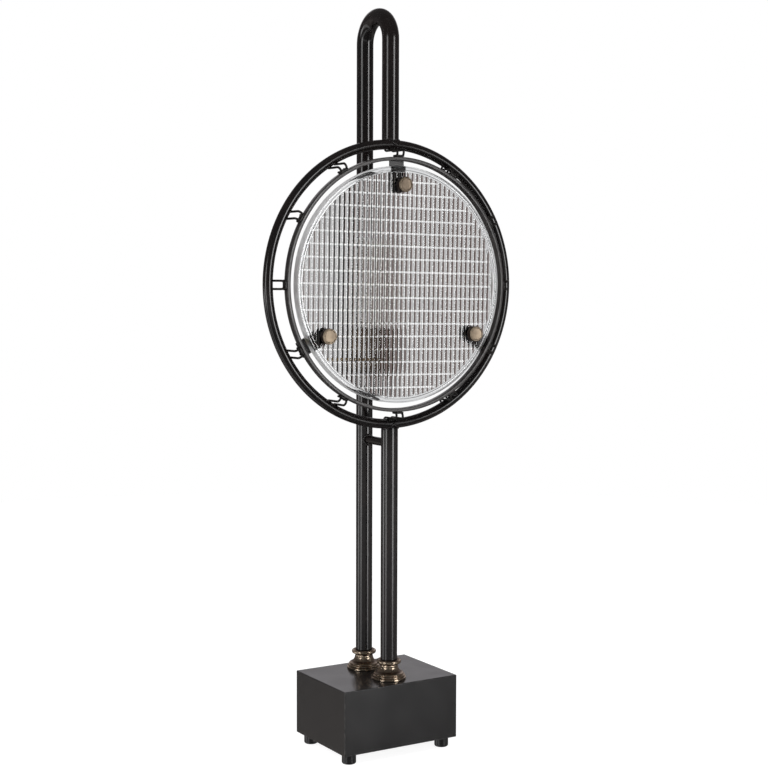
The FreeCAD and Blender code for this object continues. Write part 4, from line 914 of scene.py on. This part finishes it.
def lens_piece():
    """Lens mesh, with its faces turned to agree before it is dressed."""
    points, faces = lens()
    points = on_lens((points, faces), PATTERN_TURN)[0]
    mesh = bpy.data.meshes.new("pressed_lens")
    mesh.from_pydata((points * MM).tolist(), [], [c for f in faces for c in f.tolist()])
    work = bmesh.new()
    work.from_mesh(mesh)
    bmesh.ops.recalc_face_normals(work, faces=work.faces)
    work.to_mesh(mesh)
    work.free()
    mesh.polygons.foreach_set("use_smooth", np.ones(len(mesh.polygons), bool))
    mesh.set_sharp_from_angle(angle=math.radians(28))
    mesh.materials.append(FINISHES["lens_glass"])
    thing = bpy.data.objects.new("pressed_lens", mesh)
    bpy.context.scene.collection.objects.link(thing)
    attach(thing, "frame")
    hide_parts("front_glass")


lens_piece()


# Bulb
def bulb_envelope():
    """Thin tubular glass: up the inside, over the crown, and down the outside to the neck."""
    foot = BULB_FOOT
    quarter = math.tan(math.radians(22.5))
    outer = [
        (11.6, foot + 0.1), (11.7, foot + 3, -0.12), (16.0, foot + 14), (16.0, foot + 90, quarter),
        (0.6, foot + 105.9),
    ]
    inner = [
        (10.9, foot + 0.1), (11.0, foot + 3, -0.12), (15.3, foot + 14), (15.3, foot + 90, quarter),
        (0.6, foot + 105.1),
    ]
    outside = outline(outer + [(0.5, foot + 105.9)], 14)[:-1]
    inside = outline(inner + [(0.5, foot + 105.1)], 14)[:-1]
    profile = np.vstack([inside[::-1], outside])
    return moved(turned(profile, 72, joined=False), (0, HOLDER_Y, 0))


def bulb_inside():
    """Glass stem, lead wires and a filament strung up and down round the stem's rod."""
    foot = BULB_FOOT + 0.1
    stem = np.array([
        [3.5, 0], [3.4, 2], [2.9, 8], [2.6, 24], [2.2, 30], [1.6, 32], [1.1, 34], [1.0, 58],
        [1.4, 59.5], [0.9, 61],
    ])
    stem[:, 1] += foot
    glass = moved(turned(stem, 32, joined=False), (0, HOLDER_Y, 0))
    wires = []
    for turn in (0, math.pi):
        rise = np.array([[1.4, 31], [3.0, 34], [4.6, 36], [5.2, 37]])
        x, y = rise[:, 0] * math.cos(turn), rise[:, 0] * math.sin(turn)
        path = np.stack([x, y + HOLDER_Y, rise[:, 1] + foot], -1)
        wires.append(pipe(path, 0.25, (0, 1, 0.3), around=8))
    t = np.linspace(0, 8, 161)
    zig = np.abs((t % 2) - 1)
    angle = t * math.pi / 4
    radius = 4.8 - 0.6 * zig
    level = foot + 37 + 20 * (1 - zig)
    path = np.stack([radius * np.cos(angle), HOLDER_Y + radius * np.sin(angle), level], -1)
    wires.append(pipe(path, 0.16, (0.3, 0.2, 0.1), around=8))
    for k in range(4):
        turn = math.pi / 4 + k * math.pi / 2
        hook = np.array([[1.0, 57.6], [2.4, 57.9], [4.3, 57.2]])
        x, y = hook[:, 0] * math.cos(turn), hook[:, 0] * math.sin(turn)
        path = np.stack([x, HOLDER_Y + y, foot + hook[:, 1]], -1)
        wires.append(pipe(path, 0.15, (-math.sin(turn), math.cos(turn), 0), around=8))
    return glass, wires


stem_glass, stem_wires = bulb_inside()
thin_glass = FINISHES["bulb_glass"]
wire_steel = FINISHES["filament_steel"]
piece("bulb_envelope", [bulb_envelope()], "bulb", thin_glass, ("bulb_glass",))
piece("bulb_stem", [stem_glass], "bulb", thin_glass)
piece("bulb_wires", stem_wires, "bulb", wire_steel, ("bulb_filament",))


# Floor, backdrop, lights and camera
def studio_floor():
    """Pale floor that keeps the lamp's shadow and meets the white beyond it."""
    around = 96
    a = np.linspace(0, 2 * math.pi, around, endpoint=False)
    points = np.stack([2.1 * np.cos(a), 2.1 * np.sin(a), 0 * a], -1)
    mesh = bpy.data.meshes.new("studio_floor")
    mesh.from_pydata(points.tolist(), [], [list(range(around))])
    material = bpy.data.materials.new("studio_floor")
    material.use_nodes = True
    tree = material.node_tree
    tree.nodes.clear()
    pale = put(tree, "ShaderNodeBsdfDiffuse", {"Color": (0.88, 0.88, 0.88, 1)})
    white = put(tree, "ShaderNodeEmission", {"Color": (1, 1, 1, 1), "Strength": 1.3})
    ray = put(tree, "ShaderNodeLightPath")
    share = maths(tree, "MULTIPLY", ray.outputs["Is Camera Ray"], 0.7)
    share = maths(tree, "MAXIMUM", share, ray.outputs["Is Transmission Ray"])
    pale = put(tree, "ShaderNodeMixShader", {0: share, 1: pale.outputs[0], 2: white.outputs[0]})
    clear = put(tree, "ShaderNodeBsdfTransparent")
    mixed = put(
        tree,
        "ShaderNodeMixShader",
        {0: ray.outputs["Is Glossy Ray"], 1: pale.outputs[0], 2: clear.outputs[0]},
    )
    out = put(tree, "ShaderNodeOutputMaterial", {0: mixed.outputs[0]})
    mesh.materials.append(material)
    thing = bpy.data.objects.new("studio_floor", mesh)
    bpy.context.scene.collection.objects.link(thing)
    return out


def strip_mask(tree, bearing, height, centre, half, levels):
    """1 inside an upright strip of a bearing in degrees, faded along the given heights."""
    off = maths(tree, "ABSOLUTE", maths(tree, "SUBTRACT", bearing, math.radians(centre)))
    mask = ranged(tree, off, math.radians(half + 2), math.radians(half - 2))
    for start, end, low, high in levels:
        mask = maths(tree, "MULTIPLY", mask, ranged(tree, height, start, end, low, high))
    return mask


def studio_world():
    """Dim room with a white backdrop for the camera.

    In gloss the room is dark above the lamp's middle, a grey table below it that darkens
    in front, and a paler backdrop high behind, with three upright strips of light. Through
    the glass it shows by its bearing from +Y towards +X: pale steps up to 33 degrees, grey
    to 41, then a brown wall. It darkens above and below, and turns white towards ceiling
    and floor.
    """
    world = bpy.data.worlds.new("studio")
    world.use_nodes = True
    bpy.context.scene.world = world
    tree = world.node_tree
    tree.nodes.clear()
    place = put(tree, "ShaderNodeTexCoord").outputs["Generated"]
    parts = put(tree, "ShaderNodeSeparateXYZ", {0: place})
    bearing = maths(tree, "ARCTAN2", parts.outputs[0], parts.outputs[1])
    height = parts.outputs[2]
    through = (1.1, 1.1, 1.1, 1)
    for start, end, colour in (
        (8, 12, (0.98, 0.98, 0.98, 1)),
        (16, 20, (1.2, 1.2, 1.205, 1)),
        (33, 38, (0.84, 0.83, 0.83, 1)),
        (41, 46, (0.27, 0.215, 0.205, 1)),
    ):
        step = ranged(tree, bearing, math.radians(start), math.radians(end))
        through = blended(tree, step, through, colour)
    upright = maths(tree, "ABSOLUTE", height)
    through = blended(tree, ranged(tree, upright, 0.09, 0.12), through, (0.3, 0.3, 0.303, 1))
    through = blended(tree, ranged(tree, upright, 0.14, 0.17), through, (1.3, 1.3, 1.3, 1))
    off = maths(tree, "ABSOLUTE", maths(tree, "SUBTRACT", bearing, math.radians(32)))
    off = maths(tree, "MINIMUM", off, maths(tree, "SUBTRACT", 2 * math.pi, off))
    ahead = ranged(tree, off, math.radians(50), math.radians(105))
    dark, table = (0.08, 0.08, 0.08, 1), (0.6, 0.585, 0.585, 1)
    wall = (0.12, 0.112, 0.112, 1)
    gloss = blended(tree, ranged(tree, height, 0.0, -0.15), dark, table)
    gloss = blended(tree, ahead, wall, gloss)
    aside = ranged(tree, off, math.radians(70), math.radians(100))
    low = blended(tree, aside, (0.38, 0.35, 0.33, 1), (0.11, 0.109, 0.108, 1))
    past = ranged(tree, off, math.radians(48), math.radians(58))
    low = blended(tree, past, wall, low)
    gloss = blended(tree, ranged(tree, height, -0.2, -0.27), gloss, low)
    behind = strip_mask(tree, bearing, height, 32, 34, [(0.18, 0.22, 0, 1), (0.45, 0.6, 1, 0)])
    gloss = blended(tree, behind, gloss, (0.82, 0.79, 0.82, 1))
    for centre, half, colour, levels in (
        (160, 8, 9.0, [(0.16, 0.28, 1, 0), (-0.13, -0.24, 1, 0.2), (-0.245, -0.27, 1, 0.06)]),
        (-105, 8, 5.4, [(0.16, 0.28, 1, 0), (-0.13, -0.25, 1, 0.25)]),
        (-63, 8, 5.2, [(0.0, -0.09, 0, 1), (-0.13, -0.26, 1, 0.3)]),
    ):
        mask = strip_mask(tree, bearing, height, centre, half, levels)
        gloss = blended(tree, mask, gloss, (colour, colour, colour, 1))
    ray = put(tree, "ShaderNodeLightPath")
    colour = blended(tree, ray.outputs["Is Glossy Ray"], (0.22, 0.22, 0.224, 1), gloss)
    colour = blended(tree, ray.outputs["Is Transmission Ray"], colour, through)
    colour = blended(tree, ray.outputs["Is Camera Ray"], colour, (1.0, 1.0, 1.0, 1))
    back = put(tree, "ShaderNodeBackground", {"Color": colour, "Strength": 1.0})
    put(tree, "ShaderNodeOutputWorld", {0: back.outputs[0]})


def softbox(name, bearing, distance, height, width, tall, power, aim=0.45):
    """Area light at a bearing in degrees from -Y towards -X, turned to the lamp's axis."""
    turn = math.radians(bearing)
    place = Vector((-distance * math.sin(turn), -distance * math.cos(turn), height))
    data = bpy.data.lights.new(name, "AREA")
    data.shape = "RECTANGLE"
    data.size = width
    data.size_y = tall
    data.energy = power
    light = bpy.data.objects.new(name, data)
    light.visible_glossy = False
    light.visible_transmission = False
    light.rotation_mode = "QUATERNION"
    light.location = place
    light.rotation_quaternion = (place - Vector((0, 0, aim))).to_track_quat("Z", "Y")
    bpy.context.scene.collection.objects.link(light)


studio_floor()
studio_world()
softbox("left_strip", 131, 2.4, 1.0, 0.42, 1.9, 42)
softbox("front_left_strip", 79, 2.4, 1.0, 0.3, 1.9, 20)
softbox("front_right_strip", -20, 2.5, 1.0, 0.36, 1.9, 32)
softbox("overhead", 20, 0.9, 2.5, 1.6, 1.2, 26)

CAMERA_PLACE = (-0.8928, -1.4679, 0.5336)
CAMERA_LENS = 70.99
PAN, TILT, ROLL = math.radians(31.58), math.radians(3.88), math.radians(0.16)
ahead = Vector((math.sin(PAN) * math.cos(TILT), math.cos(PAN) * math.cos(TILT), -math.sin(TILT)))
level = Vector((math.cos(PAN), -math.sin(PAN), 0))
upward = level.cross(ahead)
right = math.cos(ROLL) * level + math.sin(ROLL) * upward
above = -math.sin(ROLL) * level + math.cos(ROLL) * upward
lens_data = bpy.data.cameras.new("camera")
lens_data.lens = CAMERA_LENS
lens_data.sensor_width = 36.0
camera = bpy.data.objects.new("camera", lens_data)
axes = Matrix((right, above, -ahead)).transposed().to_4x4()
camera.matrix_world = Matrix.Translation(CAMERA_PLACE) @ axes
bpy.context.scene.collection.objects.link(camera)
bpy.context.scene.camera = camera
bpy.context.scene.view_settings.view_transform = "Standard"
